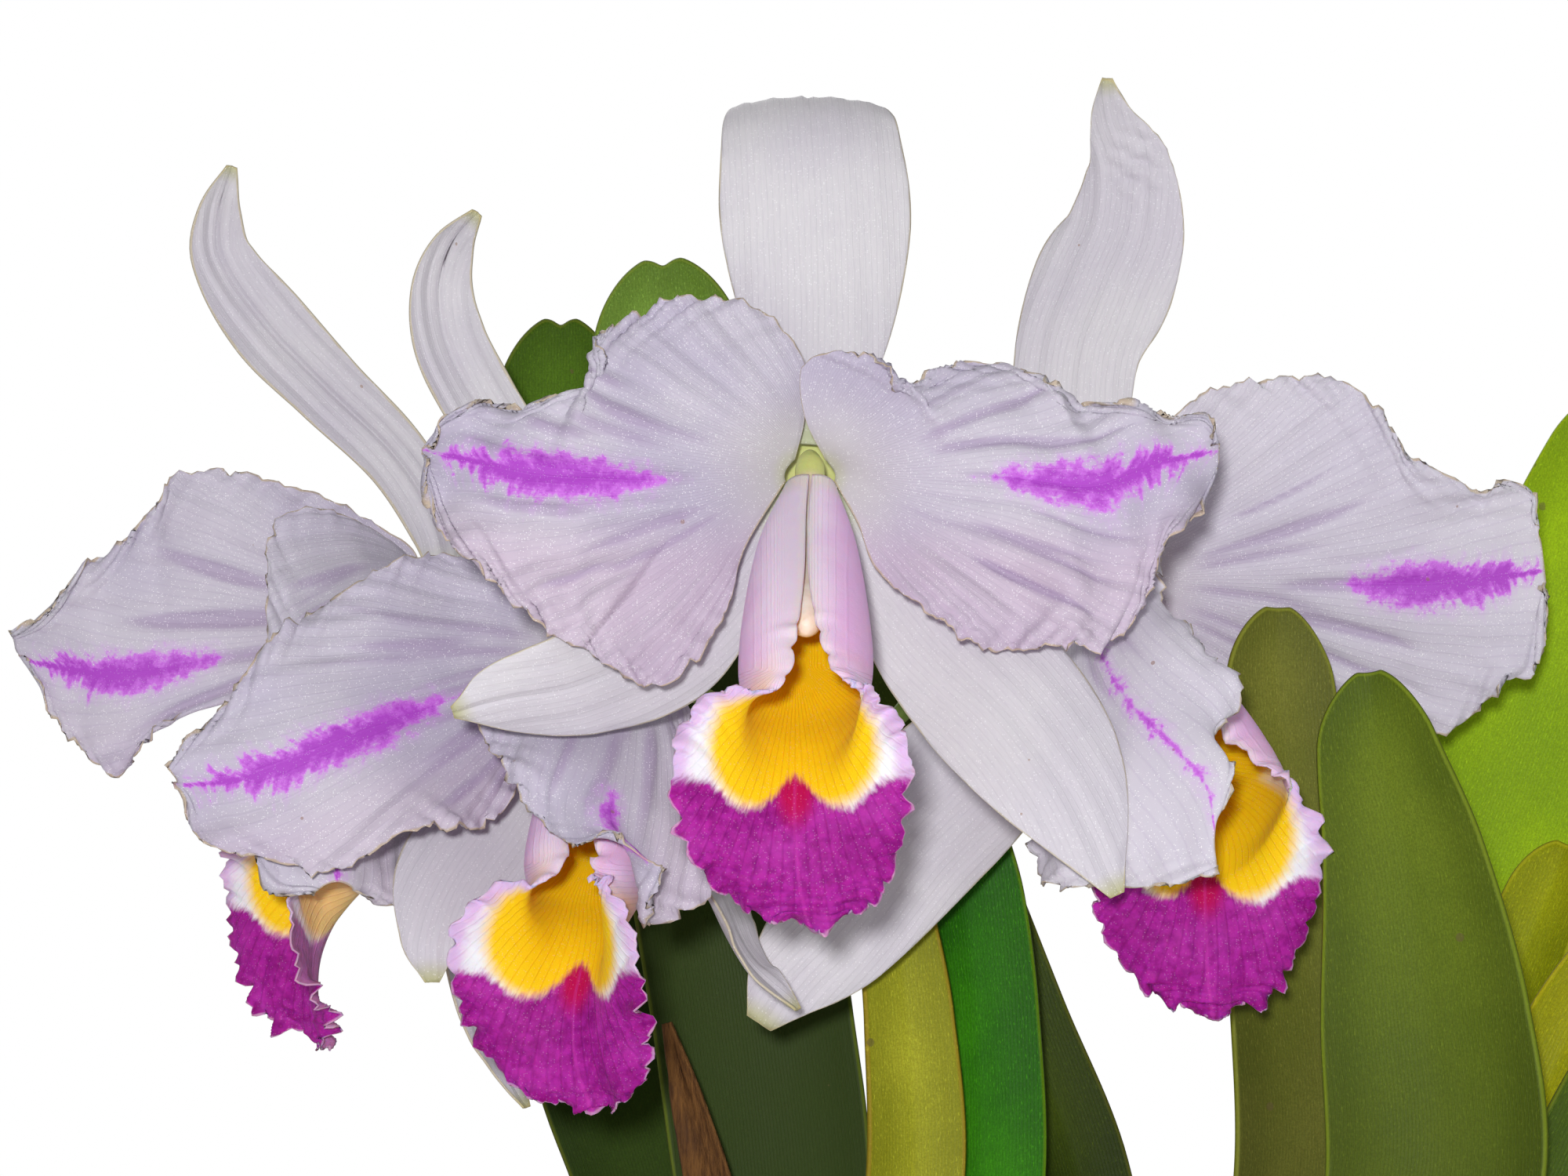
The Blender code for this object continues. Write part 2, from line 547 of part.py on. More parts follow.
def club(name, line, radii, around, rings, colour, rough=0.5, ribs=0, rib_depth=0.0):
    """A round body that follows a line, mapped from a sphere."""
    knots = even(len(radii))
    sides = carried_sides(line, rings)
    bm = bmesh.new()
    bmesh.ops.create_uvsphere(bm, u_segments=around, v_segments=rings, radius=1)
    for vert in bm.verts:
        polar = math.acos(max(-1, min(1, vert.co.z)))
        turn = math.atan2(vert.co.y, vert.co.x)
        t = polar / math.pi
        pole = min(t, 1 - t) < 0.001
        side = sides[round(t * rings)]
        front = side.cross(line.heading(t))
        radius = 0 if pole else along(radii, knots, t) * MM
        radius *= 1 + rib_depth * math.cos(ribs * turn)
        vert.co = line.at(t) + (side * math.cos(turn) + front * math.sin(turn)) * radius
    bmesh.ops.triangulate(bm, faces=bm.faces)
    return new_object(name, bm, colour, rough)


def build_blooms():
    counts = {"main": (16, 10), "right": (12, 8), "low": (12, 8), "far": (12, 8)}
    for i, (name, spec) in enumerate(PETALS.items()):
        rows, columns = counts[name.split(".")[0]]
        shape = petal_surface(spec, 3.6, 2.4 * MM, 1.3 * i)
        sheet(name, shape, rows, columns, PETAL_THICK, PETAL_COLOUR)
    for name, spec in SEPALS.items():
        rows = 10 if name.split(".")[0] in ("main", "right") else 8
        sheet(name, blade_surface(spec), rows, 4, SEPAL_THICK, SEPAL_COLOUR)
    for i, bloom in enumerate(LIP_TURNS):
        size = (18, 14) if bloom == "main" else (14, 10)
        sheet(bloom + ".lip", lip_surface(bloom, 1.1 * i), size[0], size[1], LIP_THICK,
              LIP_COLOUR)
        place = lip_frame(bloom)
        line = Line([place @ seen(p) for p in COLUMN_LINE])
        club(bloom + ".column", line, COLUMN_RADII, 8, 9, COLUMN_COLOUR)


def build_leaves():
    colours = {"leaf": LEAF_COLOUR, "young": YOUNG_LEAF_COLOUR,
               "yellow": YELLOW_LEAF_COLOUR}
    for name, (places, widths, facing, channel, notch, kind) in LEAVES.items():
        spec = (places, widths, facing, facing, channel)
        rows = 12 if len(places) > 7 else 9
        columns = 4 if max(widths) > 13 else 2
        shape = blade_surface(spec, notch, LEAF_TIP)
        sheet(name, shape, rows, columns, LEAF_THICK, colours[kind])


def build_stems():
    for name, (foot, top) in BULBS.items():
        low = Vector((foot[0] * MM, foot[1] * MM, MEDIUM_TOP + MEDIUM_SWELL + GAP))
        high = seen(top)
        belly = low.lerp(high, 0.45) + Vector((0, 0, 0.004))
        club(name, Line([low, belly, high]), BULB_RADII, 12, 7, BULB_COLOUR, 0.5,
             BULB_RIBS, BULB_RIB_DEPTH)
    for name, (places, radii) in STALKS.items():
        club(name, Line([seen(p) for p in places]), radii, 8, 10, STEM_COLOUR)
    height = MEDIUM_TOP + MEDIUM_SWELL + RHIZOME_RADIUS * MM + GAP
    line = Line([Vector((x * MM, y * MM, height)) for x, y in RHIZOME_LINE])
    radii = [0.5] + [RHIZOME_RADIUS] * 6 + [0.5]
    club("rhizome", line, radii, 8, 12, RHIZOME_COLOUR, 0.8)
    spec = (SHEATH_LINE, SHEATH_WIDTHS, (-0.3, -1, 0), (-0.3, -1, 0), 3)
    sheet("dry_sheath", blade_surface(spec), 10, 4, SHEATH_THICK, SHEATH_COLOUR, 0.8)


def pot_inside(height):
    slope = (POT_TOP_RADIUS - POT_BASE_RADIUS) / POT_HEIGHT
    return POT_BASE_RADIUS + slope * height - POT_WALL


def build_medium():
    """Bark that fills the pot: the sphere's top half is its surface, the rest its body."""
    bm = bmesh.new()
    bmesh.ops.create_uvsphere(bm, u_segments=24, v_segments=12, radius=1)
    for vert in bm.verts:
        polar = math.acos(max(-1, min(1, vert.co.z))) / (math.pi / 2)
        turn = math.atan2(vert.co.y, vert.co.x)
        top = polar <= 1.001
        height = MEDIUM_TOP if top else POT_FLOOR + GAP
        reach = min(polar, 1) if top else 2 - polar
        radius = (pot_inside(height) - GAP) * reach
        if top:
            lump = math.sin(5 * turn + 3 * polar) * math.sin(9 * polar)
            height += MEDIUM_SWELL * 0.45 * lump * (1 - min(polar, 1) ** 6)
        vert.co = Vector((math.cos(turn) * radius, math.sin(turn) * radius, height))
    bmesh.ops.recalc_face_normals(bm, faces=bm.faces)
    bmesh.ops.triangulate(bm, faces=bm.faces)
    new_object("bark_medium", bm, BARK_COLOUR, 0.9)


def build_pot():
    slope = (POT_TOP_RADIUS - POT_BASE_RADIUS) / POT_HEIGHT
    shoulder = POT_HEIGHT - POT_RIM_HEIGHT
    wall = POT_BASE_RADIUS + slope * shoulder
    profile = [(0, POT_FLOOR), (pot_inside(POT_FLOOR), POT_FLOOR),
               (pot_inside(POT_HEIGHT), POT_HEIGHT), (POT_RIM_RADIUS, POT_HEIGHT),
               (POT_RIM_RADIUS - 0.002, shoulder), (wall, shoulder),
               (POT_BASE_RADIUS, 0), (0, 0)]
    bm = bmesh.new()
    points = [bm.verts.new((x, 0, z)) for x, z in profile]
    for a, b in zip(points, points[1:]):
        bm.edges.new((a, b))
    pot = new_object("pot", bm, POT_COLOUR, 0.85)
    turn = pot.modifiers.new("turn", "SCREW")
    turn.steps = 36
    turn.render_steps = 36
    turn.use_merge_vertices = True
    turn.merge_threshold = 0.00005
    for k in range(4):
        angle = math.pi / 4 + k * math.pi / 2
        spot = (DRAIN_CIRCLE * math.cos(angle), DRAIN_CIRCLE * math.sin(angle), POT_FLOOR / 2)
        hole = bmesh.new()
        bmesh.ops.create_cone(hole, cap_ends=True, segments=12, radius1=DRAIN_RADIUS,
                              radius2=DRAIN_RADIUS, depth=3 * POT_FLOOR,
                              matrix=Matrix.Translation(spot))
        mesh = bpy.data.meshes.new("drain_cutter")
        hole.to_mesh(mesh)
        hole.free()
        cutter = bpy.data.objects.new("drain_cutter", mesh)
        CUTTERS.objects.link(cutter)
        cutter.hide_render = True
        cutter.display_type = "WIRE"
        cut = pot.modifiers.new("drain", "BOOLEAN")
        cut.operation = "DIFFERENCE"
        cut.object = cutter


clear_scene()
PLANT = bpy.data.collections.new("cattleya_orchid")
CUTTERS = bpy.data.collections.new("cutters")
bpy.context.scene.collection.children.link(PLANT)
bpy.context.scene.collection.children.link(CUTTERS)
build_blooms()
build_leaves()
build_stems()
build_medium()
build_pot()
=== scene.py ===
# %% [markdown]
# # A cattleya orchid in flower, in a clay pot
# Four large blooms stand over strap leaves and ribbed pseudobulbs. This lesson dresses the
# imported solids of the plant: each solid is replaced by a finer piece of the same form, with
# its own living finish. The solids come first, because every piece has to sit where they do.

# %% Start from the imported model
import json
import math

import bmesh
import bpy
import numpy as np
from mathutils import Matrix, Vector

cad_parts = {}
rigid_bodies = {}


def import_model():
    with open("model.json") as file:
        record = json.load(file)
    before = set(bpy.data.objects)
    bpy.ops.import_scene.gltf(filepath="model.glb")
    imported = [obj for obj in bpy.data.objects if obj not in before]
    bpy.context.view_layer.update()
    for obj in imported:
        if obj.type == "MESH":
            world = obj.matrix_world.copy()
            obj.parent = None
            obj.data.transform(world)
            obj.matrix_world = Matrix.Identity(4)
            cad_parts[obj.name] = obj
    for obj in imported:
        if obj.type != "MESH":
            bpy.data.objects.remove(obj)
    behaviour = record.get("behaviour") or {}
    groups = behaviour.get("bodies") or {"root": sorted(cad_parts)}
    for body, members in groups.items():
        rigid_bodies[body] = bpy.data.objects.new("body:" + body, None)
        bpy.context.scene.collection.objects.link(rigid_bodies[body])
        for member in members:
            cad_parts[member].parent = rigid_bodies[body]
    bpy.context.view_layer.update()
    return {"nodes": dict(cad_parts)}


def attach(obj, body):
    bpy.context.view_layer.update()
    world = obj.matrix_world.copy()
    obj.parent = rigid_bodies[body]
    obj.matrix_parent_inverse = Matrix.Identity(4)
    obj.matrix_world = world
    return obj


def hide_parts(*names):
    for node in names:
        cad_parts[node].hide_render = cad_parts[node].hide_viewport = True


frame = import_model()
MM = 0.001
print("frame:", len(frame["nodes"]), "nodes")

# %% [markdown]
# ## The camera
# The plant was laid out from its photograph, so a place on it can be told as a column and a
# row of the picture with a depth behind the main bloom. The camera stands where that layout
# says: 0.8 m in front of the main bloom, looking level along +Y. Its lens follows from the
# main bloom's spread of 165 mm over 1015 columns.

# %% Places in the picture, and the camera
PICTURE = (2000, 1500)
PITCH = 0.165 / 1015
EYE_DISTANCE = 0.800
EYE_HEIGHT = 0.420
SENSOR = 36


def seen(places):
    """Metres for columns and rows of the picture, at depths in millimetres."""
    places = np.asarray(places, float)
    y = places[..., 2] * MM
    spread = PITCH * (EYE_DISTANCE + y) / EYE_DISTANCE
    x = (places[..., 0] - PICTURE[0] / 2) * spread
    z = EYE_HEIGHT - (places[..., 1] - PICTURE[1] / 2) * spread
    return np.stack([x, y, z], axis=-1)


def columns_and_rows(points):
    """Where points appear in the photo: seen() read backwards."""
    spread = PITCH * (EYE_DISTANCE + points[..., 1]) / EYE_DISTANCE
    return (points[..., 0] / spread + PICTURE[0] / 2,
            PICTURE[1] / 2 - (points[..., 2] - EYE_HEIGHT) / spread)


def put(name, data):
    """An object with this data, linked into the scene."""
    made = bpy.data.objects.new(name, data)
    bpy.context.scene.collection.objects.link(made)
    return made


eye = bpy.data.cameras.new("eye")
eye.sensor_width = SENSOR
eye.lens = SENSOR * EYE_DISTANCE / (PICTURE[0] * PITCH)
camera = put("camera", eye)
camera.location = (0, -EYE_DISTANCE, EYE_HEIGHT)
camera.rotation_euler = (math.pi / 2, 0, 0)
bpy.context.scene.camera = camera
print(f"lens {eye.lens:.1f} mm")

# %% [markdown]
# ## Light and floor
# The flowers were lit from just behind the camera, a little above it and to its left: shadows
# fall a little right and down, with clear but soft edges. A small area light gives those. A
# wide dim one fills the right, another shines from behind, and a pale world keeps the ground
# behind the flowers white. The floor is a plain pale disc.

# %% Key, fill, back light, world and floor
WHITE = (1, 1, 1, 1)


def area_light(name, place, target, size, power):
    light = bpy.data.lights.new(name, "AREA")
    light.shape = "DISK"
    light.size = size
    light.energy = power
    lamp = put(name, light)
    lamp.location = place
    aim = Vector(target) - Vector(place)
    lamp.rotation_euler = aim.to_track_quat("-Z", "Y").to_euler()


def from_bmesh(name, shape):
    """A mesh with the shape that a bmesh holds."""
    mesh = bpy.data.meshes.new(name)
    shape.to_mesh(mesh)
    shape.free()
    return mesh


area_light("key", (-0.05, -1.00, 0.50), (0.0, 0.0, 0.38), 0.07, 7.4)
area_light("fill", (0.95, -0.80, 0.75), (0.0, 0.0, 0.35), 0.90, 0.8)
area_light("back", (-0.30, 1.20, 1.10), (0.0, 0.0, 0.35), 0.90, 6)

world = bpy.data.worlds.new("pale_room")
bpy.context.scene.world = world
world.use_nodes = True
sky = world.node_tree
dim = sky.nodes["Background"]
dim.inputs["Color"].default_value = WHITE
dim.inputs["Strength"].default_value = 0.29
bright = sky.nodes.new("ShaderNodeBackground")
bright.inputs["Color"].default_value = WHITE
ray = sky.nodes.new("ShaderNodeLightPath")
pick = sky.nodes.new("ShaderNodeMixShader")
sky.links.new(ray.outputs["Is Camera Ray"], pick.inputs[0])
sky.links.new(dim.outputs[0], pick.inputs[1])
sky.links.new(bright.outputs[0], pick.inputs[2])
sky.links.new(pick.outputs[0], sky.nodes["World Output"].inputs["Surface"])
bpy.context.scene.view_settings.view_transform = "Standard"

disc = bmesh.new()
bmesh.ops.create_circle(disc, cap_ends=True, segments=96, radius=0.9)
floor = put("floor", from_bmesh("floor", disc))
plain = bpy.data.materials.new("pale_floor")
plain.use_nodes = True
surface = plain.node_tree.nodes["Principled BSDF"].inputs
surface["Base Color"].default_value = (0.8, 0.8, 0.79, 1)
surface["Roughness"].default_value = 0.7
floor.data.materials.append(plain)
print("lights and floor ready")

# %% [markdown]
# ## Smooth lines
# Every petal, leaf and stem follows smooth lines through a few known places. Bezier curve
# objects could carry them, but here whole grids of points are read from the lines at once, so
# numpy does it: one function reads a smooth curve through points at any number of stations.

# %% Reading smooth lines
def unit(vectors):
    length = np.linalg.norm(vectors, axis=-1, keepdims=True)
    return vectors / np.maximum(length, 1e-12)


def along(points, knots, t):
    """A smooth curve through points or numbers, read at every t from 0 to 1."""
    points = np.asarray(points, float)
    knots = np.asarray(knots, float)
    numbers = points.ndim == 1
    if numbers:
        points = points[:, None]
    t = np.clip(np.asarray(t, float), 0, 1)
    last = len(points) - 1
    i = np.clip(np.searchsorted(knots, t, side="left") - 1, 0, last - 1)
    span = knots[i + 1] - knots[i]
    s = ((t - knots[i]) / span)[..., None]

    def slope(k):
        a = np.maximum(k - 1, 0)
        b = np.minimum(k + 1, last)
        return (points[b] - points[a]) * (span / (knots[b] - knots[a]))[..., None]

    s2 = s * s
    s3 = s2 * s
    read = (points[i] * (2 * s3 - 3 * s2 + 1) + slope(i) * (s3 - 2 * s2 + s)
            + points[i + 1] * (3 * s2 - 2 * s3) + slope(i + 1) * (s3 - s2))
    return read[..., 0] if numbers else read


class Line:
    """A smooth line through points, with an even pace along it."""

    def __init__(self, points):
        self.points = np.asarray(points, float)
        steps = np.linalg.norm(np.diff(self.points, axis=0), axis=1)
        self.length = steps.sum()
        self.knots = np.concatenate([[0], np.cumsum(steps)]) / self.length

    def at(self, t):
        return along(self.points, self.knots, t)

    def heading(self, t):
        return unit(self.at(np.minimum(t + 0.01, 1)) - self.at(np.maximum(t - 0.01, 0)))


def spaced(count):
    """Numbers from -1 to 1 that crowd a little towards both ends."""
    x = np.linspace(-1, 1, count)
    return x * (1.25 - 0.25 * x * x)


def ease(value, low, high):
    """0 below low, 1 above high, and a smooth rise between."""
    s = np.clip((value - low) / (high - low), 0, 1)
    return s * s * (3 - 2 * s)


print("ten columns, in metres:", Line(seen([(0, 0, 0), (10, 0, 0)])).length)

# %% [markdown]
# ## Thin living sheets
# Petals, sepals, lips and leaves are all thin sheets with two faces. Solidify could thicken
# a single grid, but the two faces of a lip differ in colour and its rim is thinner than its
# middle, so the sheet is built here as a front, a back and a rim that closes them. What a
# finish needs to know, such as the distance to the rim in millimetres, goes along as
# attributes of the points.

# %% Building closed sheets
# Rows and columns of points in each kind of sheet; the main bloom's are finer
MAIN_PETAL_GRID, PETAL_GRID = (136, 119), (100, 85)
MAIN_LIP_GRID, LIP_GRID = (160, 111), (122, 87)
SEPAL_GRID, LEAF_GRID, BRACT_GRID = (84, 31), (100, 25), (25, 45)

# How thick each kind of sheet is in millimetres
PETAL_THICK, SEPAL_THICK, LIP_THICK = 0.9, 1.0, 0.8
LEAF_THICK, BRACT_THICK, SHEATH_THICK = 1.8, 0.35, 0.8


def normals_of(grid):
    return unit(np.cross(np.gradient(grid, axis=0), np.gradient(grid, axis=1)))


def arc(grid, axis):
    """Distance along a grid's lines from their first point, in millimetres."""
    steps = np.linalg.norm(np.diff(grid, axis=axis), axis=-1)
    pad = [(1, 0), (0, 0)] if axis == 0 else [(0, 0), (1, 0)]
    return np.pad(np.cumsum(steps, axis=axis), pad) / MM


def closed_sheet(name, grid, thick, values, t, v):
    """A thin solid from a grid of points: values holds numbers for each point, t and v its
    place on the map."""
    rows, columns = grid.shape[:2]
    count = rows * columns
    off = normals_of(grid) * (thick / 2)[..., None]
    points = np.concatenate([(grid + off).reshape(-1, 3), (grid - off).reshape(-1, 3)])
    ids = np.arange(count).reshape(rows, columns)
    a, b = ids[:-1, :-1].ravel(), ids[1:, :-1].ravel()
    c, d = ids[1:, 1:].ravel(), ids[:-1, 1:].ravel()
    ring = np.concatenate([ids[:, 0], ids[-1, 1:], ids[-2::-1, -1], ids[0, -2:0:-1]])
    ahead = np.roll(ring, -1)
    faces = np.concatenate([
        np.stack([a, b, c, d], 1), np.stack([d, c, b, a], 1) + count,
        np.stack([ahead, ring, ring + count, ahead + count], 1)])
    mesh = bpy.data.meshes.new(name)
    mesh.from_pydata(points, [], faces)
    mesh.shade_smooth()
    corner = np.empty(len(mesh.loops), np.int32)
    mesh.loops.foreach_get("vertex_index", corner)
    flat = np.concatenate([np.stack([t, v], -1).reshape(-1, 2)] * 2)
    mesh.uv_layers.new(name="UVMap").data.foreach_set("uv", flat[corner].ravel())
    write_values(mesh, "front", np.repeat([1, 0], count))
    for key, numbers in values.items():
        write_values(mesh, key, np.concatenate([numbers.ravel()] * 2))
    return mesh


def write_values(mesh, name, numbers):
    layer = mesh.attributes.new(name, "FLOAT", "POINT")
    layer.data.foreach_set("value", np.asarray(numbers, np.float32))


def grown(mesh, finish, slot, *nodes):
    """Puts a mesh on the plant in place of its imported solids."""
    piece = put(mesh.name, mesh)
    mesh.materials.append(finish)
    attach(piece, "root")
    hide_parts(*nodes)


def ruffle(distance, length, seed):
    """Uneven waves along a margin: three paces that never fall into step."""
    turn = 2 * math.pi * distance / length
    swell = 0.6 + 0.4 * np.sin(turn / 4.7 + 1.9 * seed)
    return swell * (0.5 * np.sin(turn + seed) + 0.3 * np.sin(1.73 * turn + 2.3 * seed)
                    + 0.2 * np.sin(2.61 * turn + 4.1 * seed))


# %% [markdown]
# ## Wiring finishes
# Each finish is a tree of shader nodes. A few short helpers add a node, do arithmetic, blend
# two colours and lay one over another, so that a finish reads from its base colour up. They
# find their tree through the sockets that they are given. Colours are told as on a paint
# chart: red, green and blue from 0 to 255.

# %% Helpers for shader nodes
def paint(red, green, blue):
    """A colour of the paint chart, turned into the light that it gives back."""
    light = [((c / 255 + 0.055) / 1.055) ** 2.4 if c > 10 else c / 3295
             for c in (red, green, blue)]
    return (*light, 1)


def toned(colour, share, lift=0):
    """A darker or a paler paint: a share of each part, and a lift on top."""
    return [share * c + lift for c in colour]


def plug(socket, value):
    """Links a socket to another one, or gives it a constant."""
    if isinstance(value, bpy.types.NodeSocket):
        socket.id_data.links.new(value, socket)
    else:
        socket.default_value = value


def add(tree, kind, sockets=None, **settings):
    made = tree.nodes.new(kind)
    for key, value in settings.items():
        setattr(made, key, value)
    for key, value in (sockets or {}).items():
        plug(made.inputs[key], value)
    return made


def sums(operation, a, b=0.0, clamp=False):
    tree = (b if isinstance(a, float) else a).id_data
    return add(tree, "ShaderNodeMath", {0: a, 1: b}, operation=operation,
               use_clamp=clamp).outputs[0]


def times(a, b):
    return sums("MULTIPLY", a, b)


def minus(a, b):
    return sums("SUBTRACT", a, b)


def plus(first, *others):
    for other in others:
        first = sums("ADD", first, other)
    return first


def rise(value, low, high, start=0.0, end=1.0):
    """A smooth step: start below low, end above high."""
    return add(value.id_data, "ShaderNodeMapRange",
               {0: value, 1: low, 2: high, 3: start, 4: end},
               interpolation_type="SMOOTHSTEP").outputs[0]


def blend(amount, first, second):
    """From one colour to another, each a socket or a paint."""
    ends = [c if isinstance(c, bpy.types.NodeSocket) else paint(*c) for c in (first, second)]
    return add(amount.id_data, "ShaderNodeMix", {0: amount, 6: ends[0], 7: ends[1]},
               data_type="RGBA").outputs[2]


def tint(colour, mask, share, over):
    """Lays a colour over another one by a share of a mask."""
    return blend(times(mask, share), colour, over)


def value_of(finish, name):
    """A number that the mesh holds at each of its points."""
    return add(finish.node_tree, "ShaderNodeAttribute", attribute_name=name).outputs["Fac"]


def noise(place, scale, detail=2.0, rough=0.5):
    return add(place.id_data, "ShaderNodeTexNoise",
               {"Vector": place, "Scale": scale, "Detail": detail,
                "Roughness": rough}).outputs["Fac"]


def joined(x, y, z=0.0):
    return add(x.id_data, "ShaderNodeCombineXYZ", {0: x, 1: y, 2: z}).outputs[0]


def stretched(place, scale, turn=0.0):
    """Places scaled along each axis, and turned about the third."""
    return add(place.id_data, "ShaderNodeMapping",
               {"Vector": place, "Rotation": (0, 0, turn), "Scale": scale}).outputs[0]


def bumped(height, strength, distance):
    """The normal of a surface that a height bends."""
    return add(height.id_data, "ShaderNodeBump",
               {"Strength": strength, "Distance": distance,
                "Height": height}).outputs["Normal"]


def new_finish(name):
    """A material, and the places on the piece that wears it."""
    finish = bpy.data.materials.new(name)
    finish.use_nodes = True
    return finish, add(finish.node_tree, "ShaderNodeTexCoord").outputs["Object"]


def feed(finish, colour, rough, normal, **constants):
    """Plugs what a finish has worked out into its shader."""
    shader = finish.node_tree.nodes["Principled BSDF"].inputs
    worked_out = {"Base Color": colour, "Roughness": rough, "Normal": normal}
    for key, value in {**worked_out, **constants}.items():
        plug(shader[key.replace("_", " ")], value)
    return finish


# %% [markdown]
# ## Effects that several finishes share
# Flower tissue glitters with tiny swollen cells, veins run along every blade, thin margins
# dry to a brown line, and old tissue carries specks. Each effect is one node group with
# named inputs. A group gives out only masks and heights, and the shader stays in the finish.
# The finishes paint the glitter of the cells into their colour, as painted highlights.

# %% Cells, veins, a dry rim and specks
def new_group(name, gives, **takes):
    """A node group with named outputs, and inputs with the values that they start from."""
    group = bpy.data.node_groups.new(name, "ShaderNodeTree")
    for key, value in takes.items():
        kind = "NodeSocketFloat" if isinstance(value, float) else "NodeSocketVector"
        group.interface.new_socket(key, in_out="INPUT", socket_type=kind).default_value = value
    for key in gives:
        group.interface.new_socket(key, in_out="OUTPUT", socket_type="NodeSocketFloat")
    return group, add(group, "NodeGroupInput").outputs, add(group, "NodeGroupOutput").inputs


def give(out, **results):
    for key, socket in results.items():
        plug(out[key], socket)


def use(group, **sockets):
    """Places a group in the tree of the first socket that it is given."""
    tree = next(iter(sockets.values())).id_data
    return add(tree, "ShaderNodeGroup", sockets, node_tree=group).outputs


def cell_pattern(group, got, channel):
    """Cells: the distance from each one's middle, and a random number that each has."""
    cell = add(group, "ShaderNodeTexVoronoi", {"Vector": got["Place"], "Scale": got["Scale"]})
    parts = add(group, "ShaderNodeSeparateColor", {0: cell.outputs["Color"]})
    return cell.outputs["Distance"], parts.outputs[channel]


CELLS, got, out = new_group("glittering_cells", ("Glint", "Height"), Place=(0, 0, 0),
                            Scale=2600.0, Share=0.12)
distance, own = cell_pattern(CELLS, got, 0)
dome = rise(distance, 0.55, 0.1)
lit = sums("GREATER_THAN", own, minus(1.0, got["Share"]))
give(out, Glint=times(lit, dome), Height=dome)

VEINS, got, out = new_group("veins", ("Line", "Streak"), Across=0.0, Along=0.0, Count=10.0,
                            Wander=0.4)
lane = times(got["Across"], got["Count"])
spot = joined(lane, times(got["Along"], 0.12))
shift = times(minus(noise(spot, 0.6), 0.5), got["Wander"])
swing = sums("PINGPONG", plus(lane, shift), 0.5)
give(out, Line=rise(swing, 0.16, 0.0), Streak=noise(spot, 2.2, 3.0, 0.6))

RIM, got, out = new_group("dry_rim", ("Rim",), Place=(0, 0, 0), Distance=5.0, Width=0.35)
broken = rise(noise(got["Place"], 90.0, 3.0), 0.36, 0.62, 0.35, 1.6)
near = sums("DIVIDE", got["Distance"], times(got["Width"], broken))
give(out, Rim=rise(near, 1.5, 0.4))

SPECKS, got, out = new_group("specks", ("Speck",), Place=(0, 0, 0), Scale=300.0, Share=0.02,
                             Size=0.25)
distance, own = cell_pattern(SPECKS, got, 1)
chosen = sums("LESS_THAN", own, got["Share"])
give(out, Speck=times(chosen, sums("LESS_THAN", distance, got["Size"])))
print("shared effects:", [g.name for g in (CELLS, VEINS, RIM, SPECKS)])


def specked(colour, place, scale, share, size, strength, tone):
    """Specks on a share of the cells of a pattern."""
    mask = use(SPECKS, Place=place, Scale=scale, Share=share, Size=size)["Speck"]
    return tint(colour, mask, strength, tone)


def dried(colour, place, rim, strength, tone):
    """The thin, broken line where a margin has dried."""
    return tint(colour, use(RIM, Place=place, Distance=rim, Width=0.22)["Rim"], strength, tone)


# %% [markdown]
# ## Petals
# Each bloom has two petals, far broader than its sepals. A petal starts at a narrow claw and
# spreads into a waved blade with a dry, ruffled margin and a violet flame along its outer
# midrib. Sculpting could give one by hand; three lines give it by rule, because a petal is
# seen flat: its upper margin, its midrib and its lower margin. A parabola joins the three at
# every station, and low waves bend it as its solid is bent. Creases fan out from its claw,
# finer ruffles run on its margin, and the main left petal has a fold across it.

